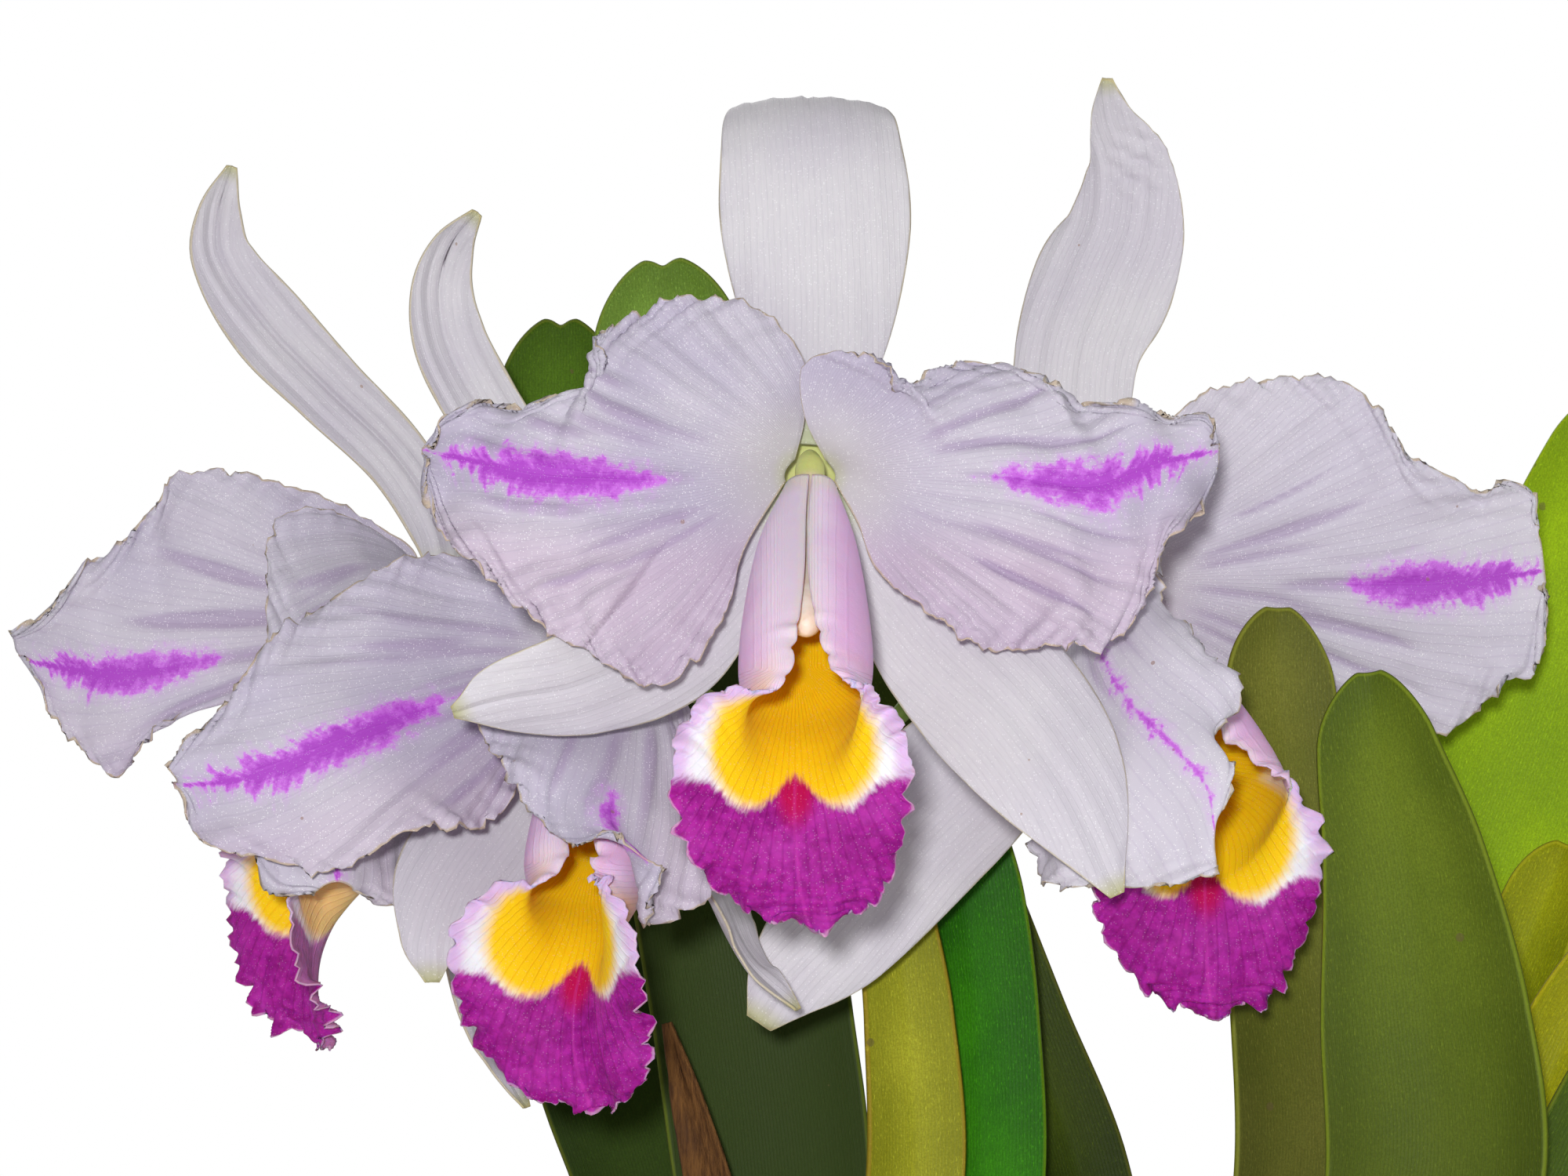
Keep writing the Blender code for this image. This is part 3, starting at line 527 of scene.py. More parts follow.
# %% Where the petals lie
# Each petal: upper margin, midrib and lower margin, from the claw to the tip
PETALS = {
    "main.petal_left": (
        [(1014, 586, 3), (1026, 535, 4), (1027, 468, 4), (985, 402, 4), (930, 378, 5),
         (870, 385, 6),
         (800, 405, 6), (765, 430, 3), (772, 458, 0), (762, 490, 3), (720, 500, 0),
         (670, 518, -3), (635, 512, 0), (600, 515, -3), (560, 540, 0), (541, 565, -2)],
        [(1002, 600, 2), (900, 612, -4), (800, 614, -6), (700, 608, -7), (600, 590, -4),
         (538, 575, 0)],
        [(1002, 614, 1), (950, 700, -4), (925, 780, -8), (880, 850, -13),
         (830, 877, -14), (775, 850, -15), (740, 822, -13), (700, 800, -16),
         (650, 765, -12), (600, 720, -13), (565, 680, -9), (545, 620, -6),
         (539, 585, -3)],
    ),
    "main.petal_right": (
        [(1052, 586, 0), (1026, 530, -5), (1024, 466, -6), (1070, 445, -8), (1110, 460, -10),
         (1140, 487, -12), (1200, 471, -2), (1290, 468, 2), (1340, 490, -4),
         (1370, 515, 0), (1450, 513, -6), (1490, 530, -2), (1540, 528, -5),
         (1553, 560, -3)],
        [(1064, 600, 1), (1160, 608, -4), (1280, 610, -8), (1400, 618, -9),
         (1480, 590, -6), (1555, 575, -2)],
        [(1064, 614, 0), (1095, 670, -4), (1115, 720, -8), (1165, 770, -12),
         (1240, 820, -14), (1290, 830, -12), (1370, 822, -16), (1400, 830, -13),
         (1455, 782, -12), (1472, 735, -9), (1500, 680, -9), (1535, 645, -3),
         (1553, 600, -2)],
    ),
    "right.petal_right": (
        [(1432, 724, 56), (1440, 640, 52), (1475, 560, 48), (1510, 520, 46),
         (1550, 495, 44), (1620, 483, 44), (1700, 483, 42), (1765, 530, 40),
         (1790, 570, 42), (1840, 600, 40), (1895, 630, 42), (1912, 615, 40),
         (1955, 625, 44), (1963, 660, 44)],
        [(1436, 738, 56), (1550, 742, 53), (1680, 745, 50), (1820, 745, 48),
         (1970, 725, 48)],
        [(1432, 750, 57), (1490, 830, 60), (1560, 885, 60), (1640, 930, 61),
         (1730, 950, 60), (1800, 915, 56), (1838, 936, 54), (1880, 910, 53),
         (1920, 870, 50), (1955, 860, 49), (1972, 800, 48), (1972, 745, 48)],
    ),
    "right.petal_left": (
        [(1412, 704, 58), (1440, 690, 44), (1478, 688, 28), (1482, 760, 12),
         (1510, 785, 4), (1540, 855, -5), (1585, 872, -9), (1580, 905, -12),
         (1557, 940, -16), (1572, 975, -20), (1562, 1030, -22)],
        [(1400, 706, 58), (1394, 735, 36), (1405, 830, 6), (1445, 900, -7),
         (1500, 955, -16), (1540, 1005, -21), (1550, 1060, -23)],
        [(1386, 716, 58), (1350, 780, 40), (1325, 860, 26), (1310, 960, 18),
         (1308, 1050, 9), (1320, 1110, 2), (1345, 1131, -9), (1400, 1131, -14),
         (1460, 1132, -18), (1510, 1125, -21), (1555, 1110, -23)],
    ),
    "low.petal_left": (
        [(764, 822, 46), (700, 740, 44), (640, 712, 42), (575, 705, 40), (520, 710, 36),
         (450, 745, 30), (390, 785, 26), (335, 830, 20), (290, 890, 14), (240, 940, 12),
         (214, 978, 12)],
        [(760, 838, 46), (650, 865, 36), (540, 905, 24), (430, 945, 13), (320, 985, 10),
         (225, 995, 12)],
        [(762, 850, 47), (715, 890, 46), (675, 960, 36), (645, 1030, 22),
         (600, 1055, 14), (520, 1065, 8), (460, 1095, 5), (410, 1112, 4), (340, 1095, 6),
         (280, 1085, 6), (245, 1060, 8), (235, 1020, 10), (222, 1000, 12)],
    ),
    "low.petal_right": (
        [(800, 806, 48), (740, 826, 34), (670, 860, 20), (612, 915, 8), (640, 975, 0),
         (690, 1050, -8), (740, 1080, -14), (790, 1065, -20)],
        [(812, 812, 48), (802, 856, 28), (795, 920, 12), (785, 990, -2),
         (778, 1050, -12), (815, 1090, -20)],
        [(822, 822, 48), (858, 880, 34), (885, 940, 22), (900, 1000, 12), (912, 1080, 4),
         (910, 1135, -2), (870, 1165, -8), (835, 1175, -16), (845, 1110, -22)],
    ),
    "far.petal_left": (
        [(546, 786, 84), (530, 705, 82), (480, 670, 78), (420, 635, 76), (345, 612, 74),
         (280, 600, 74), (215, 610, 72), (188, 655, 70), (130, 713, 72), (105, 722, 70),
         (68, 768, 74), (16, 814, 80)],
        [(542, 800, 84), (400, 820, 80), (275, 840, 75), (150, 855, 75), (20, 828, 84)],
        [(546, 814, 84), (460, 880, 80), (360, 890, 77), (280, 895, 75), (210, 920, 73),
         (168, 962, 74), (147, 992, 72), (90, 938, 74), (55, 890, 76), (28, 842, 82)],
    ),
    "far.petal_right": (
        [(562, 762, 84), (500, 690, 68), (420, 652, 58), (365, 655, 52), (343, 690, 46),
         (342, 800, 38), (345, 900, 29), (335, 1000, 20), (330, 1100, 13),
         (345, 1140, 11), (400, 1140, 11)],
        [(574, 766, 84), (530, 780, 60), (475, 850, 39), (440, 940, 29),
         (430, 1040, 19), (430, 1125, 12)],
        [(588, 774, 84), (600, 840, 55), (566, 950, 43), (532, 1040, 35),
         (518, 1110, 32), (505, 1155, 26), (460, 1140, 17)],
    ),
}

# Each flame's start and end along the midrib, its half width and its lean in millimetres
FLAMES = {
    "main.petal_left": (0.33, 0.96, 6.0, 0.3), "main.petal_right": (0.40, 0.97, 6.0, 0.0),
    "right.petal_right": (0.52, 1.0, 6.4, -0.5), "right.petal_left": (0.30, 1.02, 1.3, 0.0),
    "low.petal_left": (0.36, 0.99, 6.2, -1.5), "low.petal_right": (0.74, 1.04, 3.6, 0.0),
    "far.petal_left": (0.48, 0.97, 5.8, -2.0), "far.petal_right": (0.70, 1.04, 2.0, 0.0),
}

# How many narrow creases fan out over each petal, and the waves of its margins: how many
# there are and how high they stand in millimetres
PLEATS = 15
WAVES = 3.6
WAVE_HEIGHT = 2.4

# How rosy the lower half of each bloom's petals is; the paler bloom has none
ROSY = {"main": 1.0, "low": 0.6, "far": 0.4, "right": 0.0}

# Sharp folds: where each starts and ends, how far it stands proud and how wide that is
TUCKS = {"main.petal_left": ((744, 826), (890, 632), 4.0, 90)}


# %% The shape of a petal
# The fan of a petal's veins, in millimetres: its half width where it is FAN_REACH long with
# the claw's length added, and the power by which it opens
FAN_WIDTH, FAN_CLAW, FAN_REACH, FAN_POWER = 20, 12, 52, 1.35


def waves(t, v, count, seed):
    """The soft waves that the petal's solid has too: they grow towards the margins."""
    side = np.where(v > 0, 1.7, 0.0)
    a = np.sin(2 * np.pi * count * t + seed + side)
    b = np.sin(2 * np.pi * (count * 0.61) * t + 2.1 * seed + 2 * side)
    growth = np.clip((t - 0.08) / 0.25, 0, 1)
    return (0.65 * a + 0.35 * b) * np.abs(v) ** 2.2 * growth


def fan_lines(forward, sideways):
    """Numbers the veins that fan out from the claw: each vein keeps one number."""
    return (sideways / FAN_WIDTH) / ((forward + FAN_CLAW) / FAN_REACH) ** FAN_POWER


def tucked(grid, start, end, lift, reach):
    """A sharp fold along a line of the photo: the sheet stands proud on its left side."""
    columns, rows = columns_and_rows(grid)
    run = np.array(end, float) - np.array(start)
    length = np.hypot(*run)
    x, y = columns - start[0], rows - start[1]
    s = (x * run[0] + y * run[1]) / length ** 2
    off = (x * -run[1] + y * run[0]) / length * np.sign(run[1])
    proud = lift * MM * (1 - ease(s, 0.1, 1.0)) * ease(off, -3, 4)
    proud = proud * np.exp(-np.maximum(off, 0) / reach)
    grid = grid.copy()
    grid[..., 1] -= proud
    return grid


def pleats(fan, forward, seed):
    """Narrow creases that fan out from the claw, each with its own depth and reach."""
    spread = FAN_WIDTH * ((forward + FAN_CLAW) / FAN_REACH) ** FAN_POWER
    lift = 0 * fan
    for i in range(PLEATS):
        place = -1.2 + 2.4 * (i + 0.8 * math.sin(2.7 * i + seed)) / PLEATS
        bend = 0.05 * np.sin(forward / 13 + 1.7 * i + seed)
        start = 8 + 30 * (0.5 + 0.5 * math.sin(4.1 * i + 2 * seed))
        shown = ease(forward, start, start + 14) - ease(forward, start + 24, start + 46)
        depth = 0.35 + 0.55 * abs(math.sin(7.3 * i + seed))
        width = 0.9 + 0.8 * abs(math.sin(3.3 * i + 4 * seed))
        gap = (fan - place - bend) * spread
        lift = lift - depth * shown * np.exp(-(gap / width) ** 2)
    return lift


def petal_grid(spec, rows, columns, seed):
    """The petal's points, with what its finish needs to know at each of them."""
    t = np.linspace(0, 1, rows)[:, None]
    v = spaced(columns)[None, :]
    upper, middle, lower = [Line(seen(p)).at(t) for p in spec]
    w = v[..., None]
    grid = middle + (upper - lower) * (w / 2) + ((upper + lower) / 2 - middle) * (w * w)
    off = normals_of(grid)
    grid = grid + off * (WAVE_HEIGHT * MM * waves(t, v, WAVES, seed))[..., None]

    forward = arc(grid, 0)
    sideways = arc(grid, 1)
    sideways = sideways - sideways[:, columns // 2][:, None]
    fan = fan_lines(forward[:, columns // 2][:, None] + 0 * v, sideways)
    rim = np.minimum(np.minimum(sideways - sideways[:, :1], sideways[:, -1:] - sideways),
                     forward[-1:] - forward)
    far = np.abs(v)
    side = np.where(v > 0, 1.3, 0.0)
    out = unit(np.gradient(grid, axis=1)) * np.sign(w)
    grown_in = ease(t, 0.10, 0.40)
    crease = np.sin(7 * fan + seed) * 0.5 + np.sin(16 * fan + 2 * seed) * 0.35
    pucker = np.sin(37 * fan + 3 * seed + 0.12 * forward)
    creased = pleats(fan, forward, seed) * ease(rim, 0.5, 5)
    lift = crease * ease(far, 0.1, 0.7) + pucker * 0.30 * ease(far, 0.3, 0.95) + creased
    lift = lift + ruffle(forward, 15, seed + side) * 2.0 * far ** 6
    lift = lift + ruffle(forward, 6.0, 2 * seed + side) * 1.9 * far ** 13
    grid = grid + off * (lift * grown_in * MM)[..., None]
    jag = ruffle(forward, 8.0, 3 * seed + side) * 1.3 * far ** 12
    jag = jag + ruffle(forward, 3.0, seed + side) * 0.75 * far ** 22
    grid = grid + out * (jag * grown_in * MM)[..., None]
    # The creases' depth also goes along, so that the finish can paint shade into them
    values = {"fan": fan, "along": forward, "across": sideways, "rim": rim,
              "crease_shade": -creased}
    return grid, t + 0 * v, 0.5 + 0.5 * v + 0 * t, values


def flame_depth(t, across, start, end, width, lean):
    """Millimetres inside a flame that is widest past its middle; below 0 outside."""
    s = (t - start) / (end - start)
    inside = np.clip(s, 0, 1)
    half = width * 2.36 * inside ** 0.7 * (1 - inside) ** 0.55
    beyond = np.maximum(np.maximum(-s, s - 1), 0) * 25
    return half - np.abs(across - lean * s) - beyond


# %% [markdown]
# ## The finish of a petal
# Petal tissue is pale lilac and thin enough for light to wander in it. From the claw, which
# is cream and green, fine veins fan out, and the creases between them are darkened with
# painted shade. The flame is dye round the midrib. Its barbs branch from the midrib at a
# slant, blotches roughen its edge, and its outer end is broken most. The dry margin is a thin
# broken line of brown.

# %% Petal finish
def tissue_height(cells, veins, lump, vein_depth=0.05, cell_depth=0.015):
    """Bump for thin tissue, in millimetres: veins, swollen cells and soft lumps."""
    return bumped(plus(times(veins["Line"], vein_depth), times(cells["Height"], cell_depth),
                       times(lump, 0.22)), 0.8, 0.001)


def petal_finish():
    finish, place = new_finish("petal_tissue")
    forward, across = value_of(finish, "along"), value_of(finish, "across")
    spine, open_end = value_of(finish, "spine"), value_of(finish, "fringe")
    rosy = value_of(finish, "rosy")
    cells = use(CELLS, Place=place, Scale=3400.0, Share=0.15)
    veins = use(VEINS, Across=value_of(finish, "fan"), Along=forward, Count=15.0)
    cloud = noise(place, 28.0, 3.0)
    colour = blend(rise(cloud, 0.35, 0.65), (185, 177, 197), (198, 192, 205))
    colour = blend(sums("SUBTRACT", 0.5, rosy, True), colour, (218, 214, 222))
    lower_half = rise(across, -4.0, -20.0, 0.0, 0.55)
    colour = blend(times(lower_half, rosy), colour, (201, 179, 199))
    colour = tint(colour, veins["Line"], 0.20, (182, 169, 196))
    # Painted shade: the creases are darkened towards grey violet
    crease_shade = rise(value_of(finish, "crease_shade"), 0.12, 0.85, 0.0, 0.55)
    colour = blend(crease_shade, colour, (160, 138, 175))
    colour = blend(rise(forward, 22.0, 3.0, 0.0, 0.40), colour, (210, 206, 199))
    colour = tint(colour, rise(forward, 4.0, 0.5), 0.35, (192, 195, 140))

    upper_side = sums("GREATER_THAN", across, 0.0)
    barb = joined(minus(forward, times(spine, 0.95)), times(across, 0.14),
                  times(upper_side, 3.7))
    barbs = minus(noise(barb, 0.42, 3.0, 0.55), 0.53)
    blots = minus(noise(place, 330.0, 4.0, 0.65), 0.50)
    grain = minus(noise(place, 1300.0, 2.0, 0.6), 0.50)
    midvein = times(rise(spine, 0.9, 0.1), 2.6)
    feather = plus(times(times(barbs, 15.0), open_end), times(blots, 9.5), times(grain, 3.0),
                   times(midvein, open_end))
    dye = minus(plus(value_of(finish, "dye"), feather), times(open_end, 1.3))
    colour = tint(colour, rise(dye, -3.6, 1.8), 0.42, (212, 160, 230))
    deep = blend(rise(dye, 0.6, 4.2), (206, 106, 226), (172, 46, 196))
    colour = tint(colour, rise(dye, -0.6, 1.7), 0.92, deep)

    colour = specked(colour, place, 420.0, 0.004, 0.20, 0.6, (150, 110, 90))
    colour = dried(colour, place, value_of(finish, "rim"), 0.65, (190, 166, 118))
    # Painted highlight: glittering cells are painted near white, fewer of them on the flame
    glint = times(cells["Glint"], rise(dye, -1.0, 1.5, 0.75, 0.22))
    colour = blend(glint, colour, (255, 254, 255))
    rough = rise(cells["Height"], 0.0, 1.0, 0.62, 0.46)
    normal = tissue_height(cells, veins, noise(place, 160.0))
    return feed(finish, colour, rough, normal, Subsurface_Weight=0.22,
                Subsurface_Scale=0.0015, Subsurface_Radius=(1.0, 0.75, 0.9),
                Specular_IOR_Level=0.30, Sheen_Weight=0.04)


PETAL_FINISH = petal_finish()

# %% Growing the petals
for i, (name, spec) in enumerate(PETALS.items()):
    size = MAIN_PETAL_GRID if name.startswith("main") else PETAL_GRID
    grid, t, v, values = petal_grid(spec, *size, 1.3 * i)
    if name in TUCKS:
        grid = tucked(grid, *TUCKS[name])
    start, end, width, lean = FLAMES[name]
    values["dye"] = flame_depth(t, values["across"], *FLAMES[name])
    values["rosy"] = ROSY[name.split(".")[0]] + 0 * v
    values["spine"] = np.abs(values["across"] - lean * (t - start) / (end - start))
    values["fringe"] = 0.12 + 0.88 * ease(t, start + 0.10, end) * min(1, width / 4)
    thick = PETAL_THICK * MM * (0.35 + 0.65 * ease(values["rim"], 0, 2.0))
    mesh = closed_sheet("orchid." + name, grid, thick, values, t, v)
    grown(mesh, PETAL_FINISH, "petal", name)
print("petals:", len(PETALS))

# %% [markdown]
# ## Sepals
# Behind the petals stand three sepals, the outer leaves of the bud: one up and two down at
# the sides. They are narrow and plain, so one midrib with a list of half widths is enough.
# The face turns from base to tip, the middle stands a little behind or before the margins,
# and low folds run lengthwise. Their tips keep the green of the bud.

# %% Where the sepals lie
# Each sepal: midrib, half widths in millimetres, how it faces at base and tip, its cup
SEPALS = {
    "main.sepal_dorsal": (
        [(1034, 568, 8), (1044, 450, 15), (1041, 300, 18), (1035, 190, 22),
         (1030, 139, 32), (1030, 150, 50)],
        [4.2, 13.9, 20, 19.3, 16.4, 3], (0, -1, 0), (0, -0.3, 1), -2.5),
    "main.sepal_right": (
        [(1062, 626, 7), (1120, 715, 6), (1195, 815, 1), (1285, 905, -8),
         (1360, 1010, -16), (1425, 1142, -20)],
        [3, 9, 14, 17, 13.5, 1.6], (0, -1, 0), (0.2, -1, 0.2), -2.5),
    "main.sepal_left": (
        [(1004, 626, 7), (930, 735, 5), (850, 815, 0), (740, 868, -7), (640, 888, -11),
         (577, 908, -12)],
        [3, 9, 14, 12, 8, 1.4], (0, -1, 0), (-0.2, -0.8, -0.5), -2),
    "right.sepal_dorsal": (
        [(1388, 700, 62), (1368, 560, 62), (1374, 450, 64), (1408, 360, 66),
         (1436, 290, 66), (1440, 210, 64), (1420, 150, 60), (1412, 100, 54)],
        [3, 12, 14, 16, 13.5, 9.6, 5.2, 1.2], (0, -1, 0), (-0.4, -1, 0), -2),
    "right.sepal_left": (
        [(1380, 768, 61), (1330, 880, 50), (1250, 975, 40), (1160, 1065, 32),
         (1065, 1185, 26), (1005, 1250, 25), (968, 1305, 25)],
        [3, 12, 16.5, 17.5, 14, 9.5, 3], (0, -1, 0), (0, -1, 0), -2.5),
    "right.sepal_right": (
        [(1420, 770, 64), (1490, 880, 70), (1570, 980, 71), (1640, 1080, 70),
         (1690, 1190, 68)],
        [3, 12, 16, 13, 1.8], (0, -1, 0), (0, -1, 0), -2),
    "low.sepal_dorsal": (
        [(776, 806, 53), (700, 660, 60), (617, 520, 68), (576, 440, 70), (564, 370, 72),
         (578, 315, 70), (608, 272, 66)],
        [3, 8.5, 8.5, 8.4, 7, 4.8, 1.2], (0, -1, 0), (0.3, -1, 0), 4),
    "low.sepal_left": (
        [(764, 862, 53), (700, 950, 51), (640, 1040, 39), (577, 1130, 26),
         (551, 1200, 19), (551, 1253, 18)],
        [3, 10, 13, 13, 7, 1.5], (0, -1, 0), (0, -1, 0), -2),
    "low.sepal_right": (
        [(808, 862, 53), (850, 950, 51), (895, 1050, 40), (930, 1150, 20),
         (965, 1225, 8), (1018, 1287, 4)],
        [3, 9, 11, 10, 7, 1.4], (0.3, -1, 0), (0.9, -0.4, 0), 3),
    "far.sepal_dorsal": (
        [(572, 756, 88), (560, 676, 92), (507, 585, 96), (417, 494, 98), (342, 414, 100),
         (283, 327, 102), (280, 270, 100), (296, 213, 96)],
        [3, 6.5, 7.6, 8.6, 9.5, 7.2, 5, 1.2], (0, -1, 0), (0.3, -1, 0), 4),
    "far.sepal_left": (
        [(548, 826, 88), (500, 890, 92), (450, 960, 98), (420, 1020, 108),
         (400, 1070, 120)],
        [3, 11, 14, 11, 1.6], (0, -1, 0), (0, -1, -0.5), -2),
    "far.sepal_right": (
        [(592, 826, 88), (612, 950, 86), (613, 1100, 80), (606, 1220, 72),
         (625, 1320, 66), (672, 1412, 60)],
        [3, 10, 12, 8, 5.5, 1.2], (0, -1, 0), (0.7, -0.7, 0), 2.5),
}

# How deep the lengthwise folds are where they show most, and which tip is crumpled
GROOVES = {"far.sepal_dorsal": 0.95, "low.sepal_dorsal": 0.95, "right.sepal_dorsal": 0.5}
CRUMPLES = {"right.sepal_dorsal": 0.75}


# %% The shape of a blade
def blade_grid(spec, rows, columns, notch=0.0, tip=0.0):
    """A sepal or a leaf: its midrib, its half widths and the way its face looks."""
    line_points, widths, face_start, face_end, cup = spec
    middle = Line(seen(line_points))
    t = np.linspace(0, 1, rows)[:, None]
    v = spaced(columns)[None, :]
    u = 1 - (1 - t) ** 1.5 if tip else t
    round_off = np.maximum(0, (u - 1 + tip) / tip) if tip else 0 * u
    reach = u * (1 - 0.32 * notch * np.exp(-(v / 0.42) ** 2) * u ** 12)
    centre = middle.at(reach)
    look = unit(np.array(face_start) + (np.array(face_end) - np.array(face_start, float))
                * u[..., None])
    heading = middle.heading(u)
    side = unit(np.cross(heading, look))
    look = unit(np.cross(side, heading))
    half = np.maximum(along(widths, middle.knots, u), 0.3) * MM
    half = half * np.sqrt(1 - 0.93 * round_off * round_off)
    bend = cup * (half / max(widths)) * (1 - v * v)
    grid = centre + side * (half * v)[..., None] - look * bend[..., None]
    forward = arc(grid, 0)
    sideways = half * v / MM
    rim = np.minimum((half / MM) * (1 - np.abs(v)), forward[-1:] - forward)
    values = {"along": forward, "across": sideways, "rim": rim,
              "left": forward[-1:] - forward}
    return grid, look, u + 0 * v, 0.5 + 0.5 * v + 0 * u, values


def folded(grid, look, v, values, seed, depth, crumple):
    """Adds a keel, lengthwise folds that lean a little as they run, and a crumpled spot."""
    across = values["across"]
    lengthwise = np.sin(across * 0.95 + values["along"] * 0.03 + seed) * 0.5
    lengthwise = lengthwise + np.sin(across * 2.1 - values["along"] * 0.02 + 2 * seed) * 0.3
    keel = -1.2 * np.exp(-(across / 0.8) ** 2)
    fade = ease(values["rim"], 0, 3) * ease(values["along"], 2, 12)
    edge = ruffle(values["along"], 19, seed + np.sign(v - 0.5)) * 0.5
    edge = edge * np.exp(-values["rim"] / 2.5) * ease(values["along"], 5, 20)
    gather = np.exp(-((values["left"] - 22) / 7) ** 2 - ((across - 4) / 6) ** 2)
    pleat = np.sin(0.9 * across - 1.1 * values["left"]) + np.sin(1.7 * values["left"])
    lift = ((lengthwise + keel) * fade * depth + edge + crumple * gather * pleat) * MM
    return grid + look * lift[..., None]


# %% [markdown]
# ## The finish of a sepal
# It is the petal's tissue with straighter veins: they run side by side from base to tip. The
# tip and the very base turn yellow-green.

# %% Sepal finish
def sepal_finish():
    finish, place = new_finish("sepal_tissue")
    forward = value_of(finish, "along")
    cells = use(CELLS, Place=place, Share=0.14)
    veins = use(VEINS, Across=value_of(finish, "across"), Along=forward, Count=0.8)
    cloud = noise(place, 22.0, 3.0)
    colour = blend(rise(cloud, 0.35, 0.65), (204, 199, 208), (213, 210, 214))
    colour = tint(colour, rise(veins["Streak"], 0.40, 0.70), 0.18, (188, 181, 197))
    colour = tint(colour, veins["Line"], 0.08, (177, 172, 186))
    colour = tint(colour, rise(forward, 14.0, 1.0), 0.8, (186, 194, 145))
    tip = rise(plus(value_of(finish, "left"), times(cloud, 3.0)), 7.0, 1.0)
    colour = tint(colour, tip, 0.8, (177, 176, 114))
    colour = specked(colour, place, 420.0, 0.003, 0.20, 0.6, (160, 125, 100))
    colour = dried(colour, place, value_of(finish, "rim"), 0.6, (196, 180, 130))
    # Painted highlight: glittering cells are painted near white
    colour = tint(colour, cells["Glint"], 0.5, (250, 249, 252))
    rough = rise(cells["Height"], 0.0, 1.0, 0.60, 0.46)
    normal = tissue_height(cells, veins, noise(place, 140.0))
    return feed(finish, colour, rough, normal, Subsurface_Weight=0.20,
                Subsurface_Scale=0.0015, Subsurface_Radius=(1.0, 0.8, 0.9),
                Specular_IOR_Level=0.30, Sheen_Weight=0.04)


SEPAL_FINISH = sepal_finish()

# %% Growing the sepals
for i, (name, spec) in enumerate(SEPALS.items()):
    grid, look, t, v, values = blade_grid(spec, *SEPAL_GRID)
    depth = GROOVES.get(name, 0.32)
    grid = folded(grid, look, v, values, 1.7 * i, depth, CRUMPLES.get(name, 0.0))
    thick = SEPAL_THICK * MM * (0.5 + 0.5 * ease(values["rim"], 0, 2.0))
    mesh = closed_sheet("orchid." + name, grid, thick, values, t, v)
    grown(mesh, SEPAL_FINISH, "sepal", name)
print("sepals:", len(SEPALS))

# %% [markdown]
# ## Lips
# The lip is the third petal, made over into a landing place for bees. Its base is rolled into
# a tube round the column, and its front spreads into a crinkled lobe. One lip is laid out
# from the main bloom: ten sections across it, each a cubic curve from its floor up to its
# margins. The other lips are the same one, turned, with the lobe swung at the mouth.

# %% Where the lips lie
MAIN_CENTRE = (1033, 600, 0)
RIGHT_CENTRE = (1400, 740, 55)
LOW_CENTRE = (790, 840, 45)
FAR_CENTRE = (572, 800, 80)
LIP_TURNS = {
    "main": (MAIN_CENTRE, 0, 0, 1.0, 0, 0, 0),
    "right": (RIGHT_CENTRE, 11, -19, 1.03, 23, -6, -8),
    "low": (LOW_CENTRE, -6, -1, 1.02, -2, -18, 12),
    "far": (FAR_CENTRE, -26, 0, 1.0, 0, -34, 20),
}
LIP_SECTIONS = [
    ((1033, 640, 1.7), (1032, 606, -9.5), (1036, 606, -9.5), 6.3, 6.3),
    ((1030, 735, -7), (1028, 657, -21), (1031, 657, -21), 12.5, 12.5),
    ((1028, 826, -17), (1026, 730, -36), (1031, 730, -36), 15.5, 16),
    ((1025, 905, -28), (1016, 806, -48), (1044, 806, -48), 16, 15.5),
    ((1018, 955, -38), (996, 872, -56), (1070, 866, -56), 14, 9),
    ((1014, 1005, -45), (912, 886, -56), (1114, 882, -56), 13, -3),
    ((1014, 1060, -49), (864, 945, -55), (1156, 942, -55), 13, -7),
    ((1018, 1115, -50), (864, 1045, -53), (1154, 1048, -53), 13, -7),
    ((1026, 1156, -49), (898, 1115, -50), (1134, 1118, -50), 10, -5),
    ((1034, 1182, -47), (950, 1162, -48), (1108, 1158, -48), 6, -3),
]
LIP_MIDDLE = 1014
LIP_LOBE_START = 0.36
LIP_MOUTH = (1025, 880, -45)
LIP_FRILL = 0.0026
LIP_RIM_START = 0.55
LIP_LOBE_RUN = 0.2
LIP_KEEL = 0.3
COLUMN_LINE = [(1033, 577, 6.5), (1033, 590, 1.5), (1033, 618, -5), (1032, 660, -14),
               (1029, 740, -28), (1028, 808, -41)]
COLUMN_RADII = [0.8, 3.0, 2.8, 2.6, 2.6, 2.8, 3.3, 3.7, 2.2]


# %% The shape of a lip
def lip_frame(bloom):
    centre, yaw, roll, size = LIP_TURNS[bloom][:4]
    turn = (Matrix.Rotation(math.radians(yaw), 4, "Z")
            @ Matrix.Rotation(math.radians(roll), 4, "Y"))
    home = Matrix.Translation(-Vector(seen(MAIN_CENTRE)))
    placed = Matrix.Translation(Vector(seen(centre))) @ turn @ Matrix.Scale(size, 4) @ home
    return np.array(placed)


def turned(points, matrix):
    return points @ matrix[:3, :3].T + matrix[:3, 3]


def spun(points, first, second, angle):
    """Points turned by an angle each, from one axis towards another."""
    a, b = points[..., first], points[..., second]
    made = points.copy()
    made[..., first] = a * np.cos(angle) - b * np.sin(angle)
    made[..., second] = a * np.sin(angle) + b * np.cos(angle)
    return made


